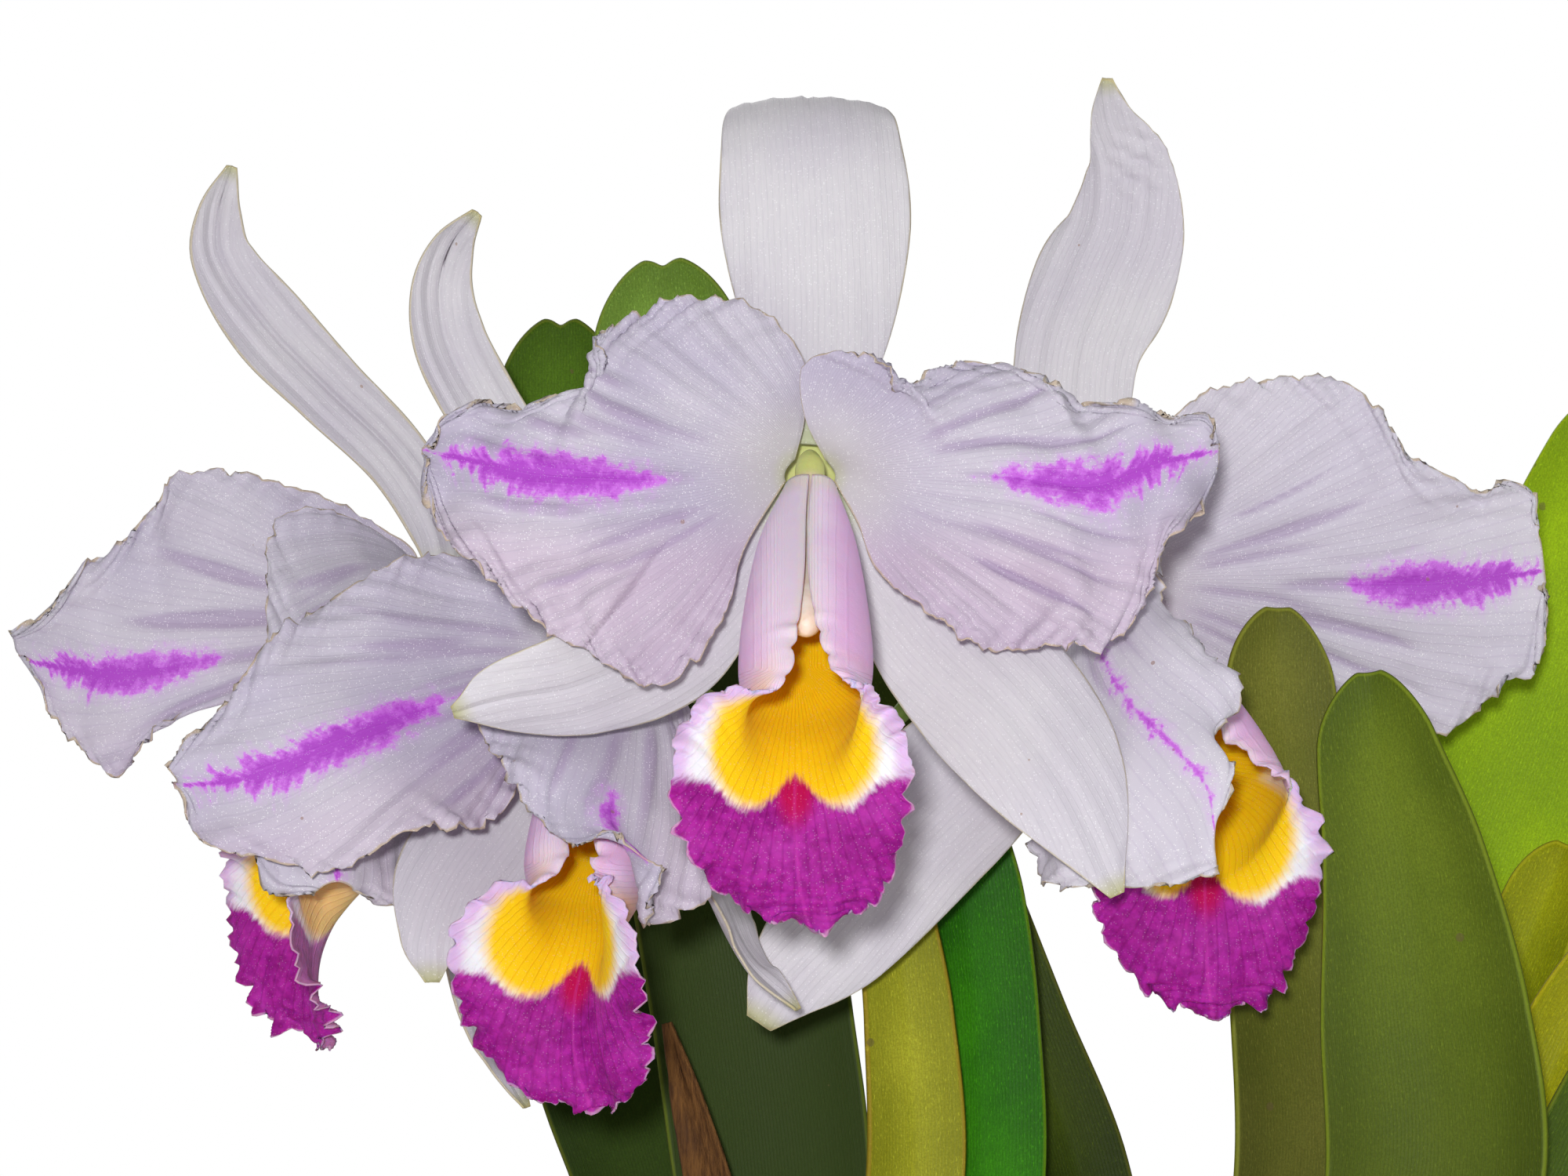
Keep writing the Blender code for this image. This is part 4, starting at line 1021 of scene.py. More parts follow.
def lip_grid(bloom, rows, columns, seed):
    """The lip's points, placed on its bloom, and the same points on the main bloom."""
    t = np.linspace(0, 1, rows)[:, None]
    v = spaced(columns)[None, :]
    knots = np.linspace(0, 1, len(LIP_SECTIONS))
    floor, left, right = [along(seen([s[k] for s in LIP_SECTIONS]), knots, t)
                          for k in range(3)]
    swell = [along([s[k] * MM for s in LIP_SECTIONS], knots, t)[..., None] for k in (3, 4)]
    outward = np.where(v >= 0, 1.0, -1.0)[..., None] * np.array([1.0, 0, 0])
    edge = np.where(v[..., None] >= 0, right, left)
    p1 = floor + outward * swell[0]
    p2 = edge + outward * swell[1]
    s = np.abs(v)[..., None]
    r = 1 - s
    grid = floor * r ** 3 + p1 * 3 * r * r * s + p2 * 3 * r * s * s + edge * s ** 3
    flat = grid.copy()

    off = normals_of(grid)
    lobe = np.clip((t - LIP_LOBE_START) / LIP_LOBE_RUN, 0, 1)
    near = np.maximum(np.abs(v), (t - LIP_RIM_START) / (1 - LIP_RIM_START))
    angle = np.arctan2(v, (t - 0.6) * 2.2)
    frill = np.sin(9 * angle + seed) * 0.7 + np.sin(5 * angle + 2 * seed) * 0.3
    grid = grid + off * (frill * near ** 4 * lobe * LIP_FRILL)[..., None]

    pace = arc(flat, 0)
    pace = 0.5 * (pace[:, :1] + pace[:, -1:]) + (1 - np.abs(v)) * 16 * ease(t, 0.6, 1)
    pace = pace + 2.1 * v
    mouth_rim = ease(t, 0.27, LIP_LOBE_START) * (1 - lobe)
    fine = ruffle(pace, 7.5, 2 * seed) * 3.8 * near ** 6
    fine = fine + ruffle(pace, 3.4, 3 * seed) * 1.1 * near ** 13
    curl = ruffle(pace, 7.0, 2 * seed) * 2.4 * near ** 22
    grid = grid + off * ((fine * lobe + curl * mouth_rim) * MM)[..., None]
    ahead = unit(np.gradient(flat, axis=0)) * np.clip((t - 0.75) / 0.25, 0, 1)[..., None]
    out = unit(np.gradient(flat, axis=1)) * np.sign(v)[..., None] * s ** 6 + ahead
    uneven = pace + 1.6 * ruffle(pace, 17, seed)
    scallop = np.abs(np.sin(np.pi * uneven / 6.5)) ** 0.6 - 0.6
    jag = scallop * 2.0 * near ** 9 + ruffle(pace, 9.0, seed) * 1.2 * near ** 9
    jag = jag + ruffle(pace, 2.5, seed) * 0.35 * near ** 18
    bite = (scallop * 1.5 - 0.3) * near ** 12 * mouth_rim
    grid = grid + out * ((jag * lobe + bite) * MM)[..., None]

    roll, yaw, fold = np.radians(LIP_TURNS[bloom][4:])
    shut = -fold * lobe * np.clip(v / LIP_KEEL, -1, 1)
    grid = floor + spun(grid - floor, 0, 1, shut)
    mouth = seen(LIP_MOUTH)
    arm = spun(grid - mouth, 0, 1, yaw * lobe)
    grid = mouth + spun(arm, 2, 0, roll * lobe)
    return turned(grid, lip_frame(bloom)), flat, t + 0 * v, v + 0 * t


def lip_markings(flat, t):
    """How deep each point lies in the lip's fields of colour, laid out in columns from its
    middle and rows of the photo and told in millimetres."""
    x, y = columns_and_rows(flat)
    x = x - LIP_MIDDLE

    def disc(cx, cy, rx, ry):
        return (1 - np.hypot((x - cx) / rx, (y - cy) / ry)) * min(rx, ry) * 0.16

    gold = np.maximum(disc(-46, 955, 62, 78), disc(46, 950, 60, 78))
    gold = np.maximum(gold, disc(0, 900, 62, 110))
    gold = np.maximum(gold, (LIP_LOBE_START + 0.02 - t) * 60)
    line = 1033 - 40 * np.exp(-(x / 30) ** 2) - 38 * ease(np.abs(x), 66, 120)
    wine = (y - line) * 0.16
    blush = np.exp(-(x / 32) ** 2 - ((y - 1010) / np.where(y > 1010, 52, 30)) ** 2)
    across = arc(flat, 1)
    across = across - across[:, across.shape[1] // 2][:, None]
    forward = arc(flat, 0)
    rim = np.minimum(np.minimum(across - across[:, :1], across[:, -1:] - across),
                     forward[-1:] - forward)
    gold = np.minimum(gold, rim - 2.6)
    return {"gold": gold, "wine": wine, "blush": blush, "tube": t, "rim": rim,
            "across": across, "flank": np.abs(x) / 78,
            "rays": np.arctan2(x, np.maximum(y - 840, 15)) * 6,
            "ray_reach": np.hypot(x, y - 840) * 0.16}


# %% [markdown]
# ## The finish of a lip
# Outside, the tube is lilac-pink. Inside, a yellow throat runs into two yellow eyes with
# white shoulders round them, and the lobe below is velvety magenta with a crimson wedge
# between the eyes. The colours meet in soft, feathered edges that follow the lip's veins,
# and a pale lilac hem follows the crinkled rim.

# %% Lip finish
def lip_finish():
    finish, place = new_finish("lip_velvet")
    tube, rim = value_of(finish, "tube"), value_of(finish, "rim")
    cells = use(CELLS, Place=place, Scale=3000.0, Share=0.14)
    veins = use(VEINS, Across=value_of(finish, "rays"), Along=value_of(finish, "ray_reach"),
                Count=2.6)
    fine = noise(place, 520.0, 3.0, 0.6)
    cloud = noise(place, 120.0, 3.0)
    wander = plus(times(minus(veins["Streak"], 0.5), 4.0), times(minus(fine, 0.5), 1.5))

    white = blend(rise(cloud, 0.3, 0.7), (228, 222, 232), (240, 238, 242))
    hem = rise(plus(rim, times(wander, 0.8)), 4.5, 0.8)
    inner = tint(white, hem, 0.75, (212, 166, 222))
    yellow = blend(rise(tube, 0.60, 0.36), (255, 204, 14), (255, 202, 12))
    yellow = tint(yellow, veins["Line"], 0.25, (248, 166, 6))
    gold = plus(value_of(finish, "gold"), times(wander, 0.55))
    inner = blend(rise(gold, -2.0, 1.8), inner, yellow)

    magenta = blend(rise(fine, 0.3, 0.7), (141, 9, 125), (176, 32, 158))
    broad = noise(place, 90.0, 3.0, 0.6)
    magenta = blend(rise(broad, 0.45, 0.75, 0.0, 0.55), magenta, (190, 58, 176))
    magenta = blend(rise(broad, 0.50, 0.28, 0.0, 0.5), magenta, (123, 0, 107))
    magenta = tint(magenta, veins["Line"], 0.28, (116, 0, 99))
    magenta = blend(rise(value_of(finish, "blush"), 0.25, 0.9), magenta, (183, 0, 84))
    wine = plus(value_of(finish, "wine"), wander)
    inner = blend(rise(wine, -1.5, 1.2), inner, magenta)
    keel = rise(sums("ABSOLUTE", value_of(finish, "across")), 0.55, 0.1)
    keel = times(keel, rise(wine, -1.0, 2.0, 0.0, 0.22))
    inner = blend(keel, inner, (222, 70, 190))

    flank = rise(plus(value_of(finish, "flank"), times(cloud, 0.4)), 0.45, 1.15)
    outer = blend(flank, (245, 220, 241), (232, 184, 230))
    outer = blend(rise(tube, 0.06, 0.01, 0.0, 0.6), outer, (224, 220, 194))
    outer = blend(rise(rim, 2.2, 0.2, 0.0, 0.55), outer, (240, 222, 214))
    outer = blend(rise(tube, 0.34, 0.52, 0.0, 0.72), outer, inner)
    colour = blend(value_of(finish, "front"), outer, inner)
    colour = dried(colour, place, rim, 0.5, (222, 190, 214))
    # Painted highlight: glittering cells are painted pale pink
    colour = tint(colour, cells["Glint"], 0.20, (240, 200, 240))
    rough = rise(cells["Height"], 0.0, 1.0, 0.66, 0.46)
    normal = tissue_height(cells, veins, noise(place, 260.0), 0.10, 0.03)
    return feed(finish, colour, rough, normal, Subsurface_Weight=0.45,
                Subsurface_Scale=0.0018, Specular_IOR_Level=0.16, Sheen_Weight=0.02)


LIP_FINISH = lip_finish()

# %% Growing the lips
for i, bloom in enumerate(LIP_TURNS):
    size = MAIN_LIP_GRID if bloom == "main" else LIP_GRID
    grid, flat, t, v = lip_grid(bloom, *size, 1.1 * i)
    values = lip_markings(flat, t)
    thick = LIP_THICK * MM * (0.5 + 0.5 * ease(values["rim"], 0, 1.5))
    mesh = closed_sheet("orchid." + bloom + ".lip", grid, thick, values, t, 0.5 + 0.5 * v)
    grown(mesh, LIP_FINISH, "lip", bloom + ".lip")
print("lips:", len(LIP_TURNS))

# %% [markdown]
# ## Columns and flower stalks
# In a lip's tube lies the column, a cream rod that carries the flower's anther under a small
# cap. Like the stalks it is a round body along a line, with a radius that changes. A curve
# with a bevel could make it, but its ends would stay open, so the rings are laid here and a
# point closes each end. The main stalk widens at its end into the green knob over the lip.

# %% Round bodies along a line
STALKS = {
    "peduncle": (
        [(1067, 1996, 19), (1110, 1750, 42), (1135, 1500, 56), (1125, 1300, 60),
         (1095, 1100, 60), (1070, 975, 58)],
        [0.5, 3.4, 3.2, 3.0, 3.0, 3.4, 3.8, 0.5]),
    "pedicel_main": (
        [(1068, 938, 57), (1062, 850, 54), (1050, 740, 43), (1038, 650, 27),
         (1033, 606, 18), (1033, 600, 10.8)],
        [0.5, 2.2, 2.0, 2.2, 2.7, 3.6, 7.2]),
    "pedicel_right": (
        [(1112, 950, 60), (1180, 880, 66), (1290, 800, 70), (1370, 752, 68),
         (1400, 741, 62)],
        [0.5, 2.2, 2.0, 2.2, 2.7, 3.0, 0.5]),
    "pedicel_low": (
        [(1028, 950, 58), (980, 930, 62), (900, 890, 64), (830, 850, 60),
         (792, 841, 52)],
        [0.5, 2.2, 2.0, 2.2, 2.7, 3.0, 0.5]),
    "pedicel_far": (
        [(1040, 985, 66), (950, 965, 68), (850, 930, 70), (745, 880, 77),
         (650, 825, 88), (576, 801, 90)],
        [0.5, 2.2, 2.0, 2.2, 2.7, 3.0, 0.5]),
}


def round_body(name, line, radii, around, rings, ribs=0, rib_depth=0.0):
    """A closed round body along a line, its radii in millimetres."""
    t = np.linspace(0, 1, rings + 1)
    headings = line.heading(t)
    side = unit(np.cross(headings[0], [0.31, 0.23, 0.92]))
    sides = []
    for heading in headings:
        side = unit(side - heading * np.dot(side, heading))
        sides.append(side)
    sides = np.array(sides)[:, None]
    fronts = np.cross(sides, headings[:, None])
    turn = np.linspace(0, 2 * np.pi, around, endpoint=False)[None, :, None]
    radius = along(radii, np.linspace(0, 1, len(radii)), t)[:, None, None] * MM
    radius = radius * (1 + rib_depth * np.cos(ribs * turn))
    radius = radius * np.sqrt(np.clip(np.minimum(t, 1 - t) * rings / 2, 0, 1))[:, None, None]
    grid = line.at(t)[:, None] + (sides * np.cos(turn) + fronts * np.sin(turn)) * radius
    points = np.concatenate([grid[:1, 0], grid[1:-1].reshape(-1, 3), grid[-1:, 0]])
    ids = np.arange((rings - 1) * around).reshape(rings - 1, around) + 1
    a, b = ids[:-1], ids[1:]
    quads = np.stack([a, b, np.roll(b, -1, 1), np.roll(a, -1, 1)], -1).reshape(-1, 4)
    first, last = ids[0], ids[-1]
    end = len(points) - 1
    caps = [(0, p, q) for p, q in zip(first, np.roll(first, -1))]
    caps += [(end, q, p) for p, q in zip(last, np.roll(last, -1))]
    mesh = bpy.data.meshes.new(name)
    mesh.from_pydata(points.tolist(), [], quads.tolist() + caps)
    mesh.shade_smooth()
    steps = np.repeat(t[1:-1], around)
    reach = np.concatenate([[0], steps, [1]]) * line.length / MM
    write_values(mesh, "along", reach)
    write_values(mesh, "left", line.length / MM - reach)
    write_values(mesh, "rib", np.concatenate([[0], np.tile(np.cos(ribs * turn.ravel()),
                                                           rings - 1), [0]]))
    return mesh


# %% [markdown]
# ## Finishes for the column and the stalks
# The column is waxy cream, pinker towards its foot and yellow-green at it. The stalks are
# green and waxy, with purple-brown patches and specks, and turn yellow-green at the top.

# %% Column and stalk finishes
def column_finish():
    finish, place = new_finish("column_wax")
    forward = value_of(finish, "along")
    cloud = noise(place, 240.0, 3.0)
    colour = blend(rise(cloud, 0.3, 0.7), (238, 222, 206), (248, 238, 228))
    colour = blend(rise(forward, 30.0, 12.0), colour, (228, 200, 190))
    colour = blend(rise(forward, 17.0, 11.0), colour, (204, 210, 122))
    rough = rise(cloud, 0.3, 0.7, 0.34, 0.48)
    return feed(finish, colour, rough, bumped(noise(place, 900.0), 0.4, 0.0004),
                Subsurface_Weight=0.3, Subsurface_Scale=0.002, Specular_IOR_Level=0.45)


def stalk_finish():
    finish, place = new_finish("stalk_wax")
    cloud = noise(place, 90.0, 3.0)
    flush = (130, 96, 110)
    colour = blend(rise(cloud, 0.3, 0.7), (150, 168, 84), (120, 146, 60))
    colour = blend(rise(noise(place, 40.0), 0.55, 0.75, 0.0, 0.5), colour, flush)
    colour = specked(colour, place, 420.0, 0.05, 0.3, 0.35, flush)
    colour = blend(rise(value_of(finish, "left"), 11.0, 4.0), colour, (206, 211, 132))
    rough = rise(cloud, 0.3, 0.7, 0.40, 0.55)
    return feed(finish, colour, rough, bumped(noise(place, 420.0, 3.0), 0.5, 0.0006),
                Subsurface_Weight=0.1, Subsurface_Scale=0.002, Specular_IOR_Level=0.4)


COLUMN_FINISH = column_finish()
STALK_FINISH = stalk_finish()

# %% Growing the columns and stalks
for bloom in LIP_TURNS:
    line = Line(turned(seen(COLUMN_LINE), lip_frame(bloom)))
    mesh = round_body("orchid." + bloom + ".column", line, COLUMN_RADII, 36, 60)
    grown(mesh, COLUMN_FINISH, "column", bloom + ".column")
for name, (line_points, radii) in STALKS.items():
    mesh = round_body("orchid." + name, Line(seen(line_points)), radii, 28, 90, 5, 0.035)
    grown(mesh, STALK_FINISH, "stem", name)
print("columns and stalks:", len(LIP_TURNS) + len(STALKS))

# %% [markdown]
# ## Leaves
# Each pseudobulb carries one stiff strap of a leaf, folded into a shallow channel along its
# midrib, with a blunt or notched tip. It is the same blade as a sepal, wider and thicker. The
# midrib is a narrow groove above and a keel below, and the margins turn up a little.

# %% Where the leaves lie
# Each leaf: midrib, half widths, how it faces, channel depth, notch and slot
LEAVES = {
    "leaf_front_right": (
        [(1640, 2016, -8), (1760, 1750, -14), (1829, 1500, -13), (1817, 1300, -7),
         (1790, 1100, 0), (1755, 950, 7), (1746, 858, 12)],
        [4.5, 16, 22, 21.5, 17, 12.5, 9], (-0.3, -1, 0), 5, 0.0, "leaf"),
    "leaf_front_left": (
        [(1500, 1996, 30), (1610, 1750, 34), (1698, 1500, 38), (1674, 1200, 40),
         (1645, 1000, 42), (1632, 860, 43), (1630, 776, 45)],
        [4.5, 16, 22, 19, 14, 12, 10], (0.2, -1, 0), 5, 0.0, "leaf"),
    "leaf_right_edge": (
        [(1560, 1956, 66), (1660, 1750, 70), (1740, 1500, 74), (1880, 1180, 80),
         (1972, 940, 84), (2068, 680, 88), (2130, 480, 92)],
        [4.5, 18, 25, 26, 27, 25, 17], (-0.2, -1, 0.1), 4, 0.0, "young_leaf"),
    "leaf_low_right_upper": (
        [(1640, 1990, 46), (1790, 1700, 48), (1880, 1400, 50), (1940, 1220, 50),
         (1998, 1078, 52)],
        [4.5, 10, 11, 9.5, 8], (-0.4, -1, 0.2), 3, 0.0, "yellow_leaf"),
    "leaf_low_right_middle": (
        [(1716, 2000, 14), (1830, 1720, 16), (1930, 1480, 18), (2010, 1300, 20),
         (2110, 1150, 24)],
        [4.5, 10, 10, 9.5, 7], (-0.4, -1, 0.2), 3, 0.0, "yellow_leaf"),
    "leaf_low_right_lower": (
        [(1732, 2008, 6), (1860, 1780, -2), (1985, 1560, 0), (2060, 1400, 2),
         (2150, 1230, 6)],
        [4.5, 10, 12, 11, 8], (-0.4, -1, 0.2), 3, 0.0, "leaf"),
    "leaf_middle_right": (
        [(1180, 1996, 30), (1230, 1750, 36), (1254, 1500, 42), (1250, 1300, 46),
         (1235, 1150, 50), (1222, 1060, 52), (1214, 970, 54)],
        [4.5, 12, 14.5, 13.7, 13, 11, 8], (0.3, -1, 0), 4, 0.0, "young_leaf"),
    "leaf_middle_front": (
        [(1060, 2006, 10), (1125, 1750, 24), (1168, 1500, 33), (1160, 1300, 37),
         (1145, 1180, 40), (1132, 1070, 44)],
        [4.5, 9.5, 10.8, 9.8, 8.5, 6], (0.2, -1, 0), 3, 0.0, "yellow_leaf"),
    "leaf_middle_dark": (
        [(1400, 1996, 64), (1420, 1750, 66), (1379, 1500, 68), (1311, 1300, 72),
         (1258, 1150, 76), (1205, 1020, 80), (1150, 890, 84),
         (1112, 780, 88)],
        [4.5, 11, 11.5, 9.5, 8.5, 8.5, 8, 6], (0.3, -1, 0), 3, 0.0, "leaf"),
    "leaf_tall_right": (
        [(1010, 1986, 50), (1000, 1750, 60), (985, 1500, 68), (960, 1300, 74),
         (930, 1100, 80), (905, 900, 84), (880, 700, 88), (858, 500, 92),
         (845, 332, 94)],
        [4.5, 16, 22, 22.6, 23, 22, 20, 18.5, 16], (0, -1, 0), 4, 0.014, "young_leaf"),
    "leaf_tall_left": (
        [(900, 1986, 62), (885, 1750, 78), (843, 1500, 92), (796, 1350, 100),
         (765, 1150, 106), (740, 900, 112), (725, 700, 114), (715, 550, 116),
         (715, 408, 118)],
        [4.5, 17, 20, 21, 21, 20, 18, 16, 14], (0, -1, 0), 4, 0.014, "leaf"),
}
LEAF_TIP = 0.075
FOOT_REACH = 0.0014

# Each leaf's own greens: in shade, in light and on its rim, and where and how far
# painted shade darkens it from its foot up
SHADED_FOOT = (0.85, 0.35, 0.45)
LEAF_GREENS = {
    "leaf_front_right": ((82, 101, 13), (105, 122, 25), (143, 162, 38), SHADED_FOOT),
    "leaf_front_left": ((103, 109, 32), (132, 132, 52), (153, 159, 48), SHADED_FOOT),
    "leaf_right_edge": ((130, 164, 0), (159, 195, 8), (168, 197, 19), (0.6, 0.3, 0.3)),
    "leaf_low_right_upper": ((134, 143, 0), (170, 174, 6), (187, 183, 29), (0.3, 0.1, 0.3)),
    "leaf_low_right_middle": ((157, 159, 0), (187, 183, 4), (201, 185, 29),
                              (0.3, 0.1, 0.3)),
    "leaf_low_right_lower": ((63, 88, 6), (90, 115, 13), (139, 149, 32), SHADED_FOOT),
    "leaf_middle_right": ((29, 92, 0), (63, 149, 0), (126, 149, 23), (0.5, 0.2, 0.3)),
    "leaf_middle_front": ((143, 145, 23), (174, 174, 42), (153, 107, 27),
                          (0.3, 0.1, 0.3)),
    "leaf_middle_dark": ((55, 73, 6), (90, 109, 13), (111, 111, 34), SHADED_FOOT),
    "leaf_tall_right": ((99, 132, 34), (128, 164, 63), (128, 143, 42), (0.92, 0.7, 0.93)),
    "leaf_tall_left": ((55, 84, 4), (82, 117, 13), (115, 122, 32), (0.92, 0.7, 0.75)),
}


# %% [markdown]
# ## The finish of a leaf
# A leaf's skin is leathery, with fine lines from base to tip, pale stomata like fine dust,
# short slanting scratches and a hard translucent rim. Its edges and its foot are darkened
# with painted shade. The lines and scratches need to run with the leaf, so they are read
# from its own attributes, across and along.

# %% Leaf finishes
def leaf_finish(name, shade, light, rim_colour, dark):
    finish, place = new_finish(name)
    across, forward = value_of(finish, "across"), value_of(finish, "along")
    rim = value_of(finish, "rim")
    veins = use(VEINS, Across=across, Along=forward, Count=1.3, Wander=0.3)
    cloud = noise(place, 18.0, 4.0, 0.55)
    colour = blend(rise(cloud, 0.32, 0.68), shade, light)
    colour = blend(rise(veins["Streak"], 0.35, 0.70, 0.0, 0.22), colour, shade)
    colour = tint(colour, veins["Line"], 0.07, light)
    # Painted shade: the colour darkens within 13 mm of the rim
    colour = blend(rise(rim, 13.0, 1.0, 0.0, 0.45), colour, toned(shade, 0.72))
    strip = joined(across, forward)
    dust = noise(stretched(strip, (4.2, 1.3, 1.0)), 1.0, 2.0, 0.7)
    dust = rise(dust, 0.58, 0.72, 0.0, 0.20)
    colour = blend(dust, colour, toned(light, 1.12, 8))
    scratch = noise(stretched(strip, (3.4, 0.75, 1.0), 0.9), 1.0)
    colour = blend(rise(scratch, 0.57, 0.72, 0.0, 0.38), colour, toned(light, 1.18, 14))
    grain = rise(noise(place, 2400.0, 2.0, 0.6), 0.38, 0.62, 0.0, 0.30)
    colour = blend(grain, colour, toned(shade, 0.66))
    # Painted shade: the leaf is darkened from its foot up to a share of its length
    low, high, amount = dark
    whole = plus(forward, value_of(finish, "left"))
    foot = rise(sums("DIVIDE", forward, whole), low, high, 0.0, amount)
    colour = blend(foot, colour, toned(shade, 0.4))
    colour = blend(rise(rim, 0.7, 0.1, 0.0, 0.4), colour, rim_colour)
    colour = specked(colour, place, 260.0, 0.012, 0.24, 0.6, (96, 84, 50))
    rough = plus(rise(cloud, 0.3, 0.7, 0.54, 0.64), times(dust, 0.5))
    height = plus(times(veins["Line"], 0.05), times(noise(place, 700.0), 0.12),
                  times(noise(place, 60.0), 0.4))
    return feed(finish, colour, rough, bumped(height, 0.7, 0.001), Subsurface_Weight=0.06,
                Subsurface_Scale=0.0015, Specular_IOR_Level=0.14)


# %% Growing the leaves
for i, (name, leaf) in enumerate(LEAVES.items()):
    line_points, widths, facing, channel, notch, slot = leaf
    spec = (line_points, widths, facing, facing, channel)
    grid, look, t, v, values = blade_grid(spec, *LEAF_GRID, notch, LEAF_TIP)
    groove = -0.2 * np.exp(-(values["across"] / 1.0) ** 2)
    hem = 0.3 * np.exp(-values["rim"] / 1.6)
    swing = 0.5 * np.sin(values["along"] / 17 + i) * (values["across"] / 20)
    fade = ease(values["rim"], 0, 4)
    grid = grid + look * ((groove * fade + hem + swing) * MM)[..., None]
    grid[0] = grid[0] - unit(grid[2] - grid[0]) * FOOT_REACH
    thick = LEAF_THICK * MM * (0.55 + 0.45 * ease(values["rim"], 0, 3.0))
    mesh = closed_sheet("orchid." + name, grid, thick, values, t, v)
    grown(mesh, leaf_finish(name + "_skin", *LEAF_GREENS[name]), slot, name)
print("leaves:", len(LEAVES))

# %% [markdown]
# ## Pseudobulbs, their papery bracts, the rhizome and the dry sheath
# A pseudobulb is a swollen stem that stores water. It grows lengthwise ribs as it ages, and
# the bracts that wrapped it dry to grey paper that clings round its foot. The rhizome creeps
# over the bark and joins them. The sheath that once covered the flower buds stands dry.

# %% Where the bulbs stand
# Each bulb: its foot in the bark in millimetres, and the leaf base that it carries
BULBS = {
    "pseudobulb_1": ((44, -22), (1640, 2023, -8)),
    "pseudobulb_2": ((31, 13), (1500, 2003, 30)),
    "pseudobulb_3": ((40, 40), (1560, 1963, 66)),
    "pseudobulb_4": ((52, 26), (1640, 1997, 46)),
    "pseudobulb_5": ((54, 2), (1722, 2013, 10)),
    "pseudobulb_6": ((12, 22), (1180, 2003, 30)),
    "pseudobulb_7": ((2, -4), (1062, 2013, 14)),
    "pseudobulb_8": ((11, 57), (1400, 2003, 64)),
    "pseudobulb_9": ((-8, 38), (1010, 1993, 50)),
    "pseudobulb_10": ((-32, 48), (900, 1993, 62)),
}
BULB_RADII = [0.5, 6.4, 8.4, 9.6, 9.9, 9.6, 8.8, 7.4, 6.0, 5.0]
BULB_RIBS = 6
BULB_RIB_DEPTH = 0.05
RHIZOME_LINE = [(-46, 30), (-22, 26), (-4, 14), (14, 5), (28, -4), (38, -8)]
RHIZOME_RADIUS = 4.0
SHEATH_LINE = [(985, 1996, 42), (950, 1750, 50), (905, 1520, 56), (875, 1400, 58),
               (850, 1305, 60)]
SHEATH_WIDTHS = [3.5, 6.5, 5.5, 3.6, 1.0]
MEDIUM_TOP = 0.117
MEDIUM_SWELL = 0.004
GAP = 0.0004
BED = MEDIUM_TOP + MEDIUM_SWELL + GAP


# %% Bulb, rhizome and paper finishes
def bulb_finish():
    finish, place = new_finish("bulb_skin")
    cloud = noise(place, 60.0, 4.0, 0.55)
    colour = blend(rise(cloud, 0.3, 0.7), (112, 128, 58), (150, 160, 80))
    # Painted shade: the grooves between the ribs are darkened
    crease_shade = rise(value_of(finish, "rib"), 0.2, -0.9, 0.0, 0.55)
    colour = blend(crease_shade, colour, (92, 104, 44))
    fibre = noise(stretched(place, (1, 1, 0.12)), 900.0, 3.0, 0.6)
    colour = blend(rise(fibre, 0.45, 0.75, 0.0, 0.35), colour, (176, 172, 110))
    foot = rise(plus(value_of(finish, "along"), times(cloud, 30.0)), 38.0, 22.0, 0.0, 0.8)
    colour = blend(foot, colour, (142, 118, 76))
    colour = specked(colour, place, 320.0, 0.06, 0.3, 0.5, (84, 70, 40))
    rough = rise(cloud, 0.3, 0.7, 0.42, 0.6)
    return feed(finish, colour, rough, bumped(fibre, 0.6, 0.0008), Specular_IOR_Level=0.4)


def paper_finish(name, pale, dark, stain):
    finish, place = new_finish(name)
    fibre = noise(stretched(place, (1, 1, 0.10)), 1100.0, 4.0, 0.65)
    cloud = noise(place, 70.0, 4.0, 0.6)
    colour = blend(rise(fibre, 0.30, 0.70), dark, pale)
    colour = blend(rise(cloud, 0.48, 0.72, 0.0, 0.7), colour, stain)
    rough = rise(fibre, 0.3, 0.7, 0.72, 0.88)
    return feed(finish, colour, rough, bumped(plus(fibre, cloud), 0.8, 0.001),
                Specular_IOR_Level=0.25)


BULB_FINISH = bulb_finish()
BRACT_FINISH = paper_finish("bract_paper", (196, 184, 150), (150, 132, 98), (116, 92, 62))
SHEATH_FINISH = paper_finish("sheath_paper", (118, 80, 40), (78, 48, 20), (66, 42, 28))
RHIZOME_FINISH = paper_finish("rhizome_rind", (140, 118, 74), (98, 76, 44), (70, 52, 34))


# %% Growing the bulbs with their bracts
def bract_grid(line, radii, start, end, seed):
    """A sleeve of dry paper round a bulb, open down one side, with a torn top."""
    rows, columns = BRACT_GRID
    turn = np.linspace(0.35, 2 * np.pi - 0.15, columns)[None, :] + seed
    t = np.linspace(0, 1, rows)[:, None]
    torn = 1 - 0.16 * (0.5 + 0.5 * np.sin(3 * turn + 2 * seed)) - 0.05 * np.sin(11 * turn)
    u = start + (end - start) * t * torn
    heading = line.heading(u)
    side = unit(np.cross(heading, [0.31, 0.23, 0.92]))
    front = np.cross(side, heading)
    radius = along(radii, np.linspace(0, 1, len(radii)), u) * 1.10 + 0.5
    radius = radius + 0.5 * t ** 3 * np.sin(5 * turn + seed) + 0.25 * np.sin(9 * turn + 6 * t)
    ray = side * np.cos(turn)[..., None] + front * np.sin(turn)[..., None]
    return line.at(u) + ray * (radius * MM)[..., None], t + 0 * turn, turn + 0 * t


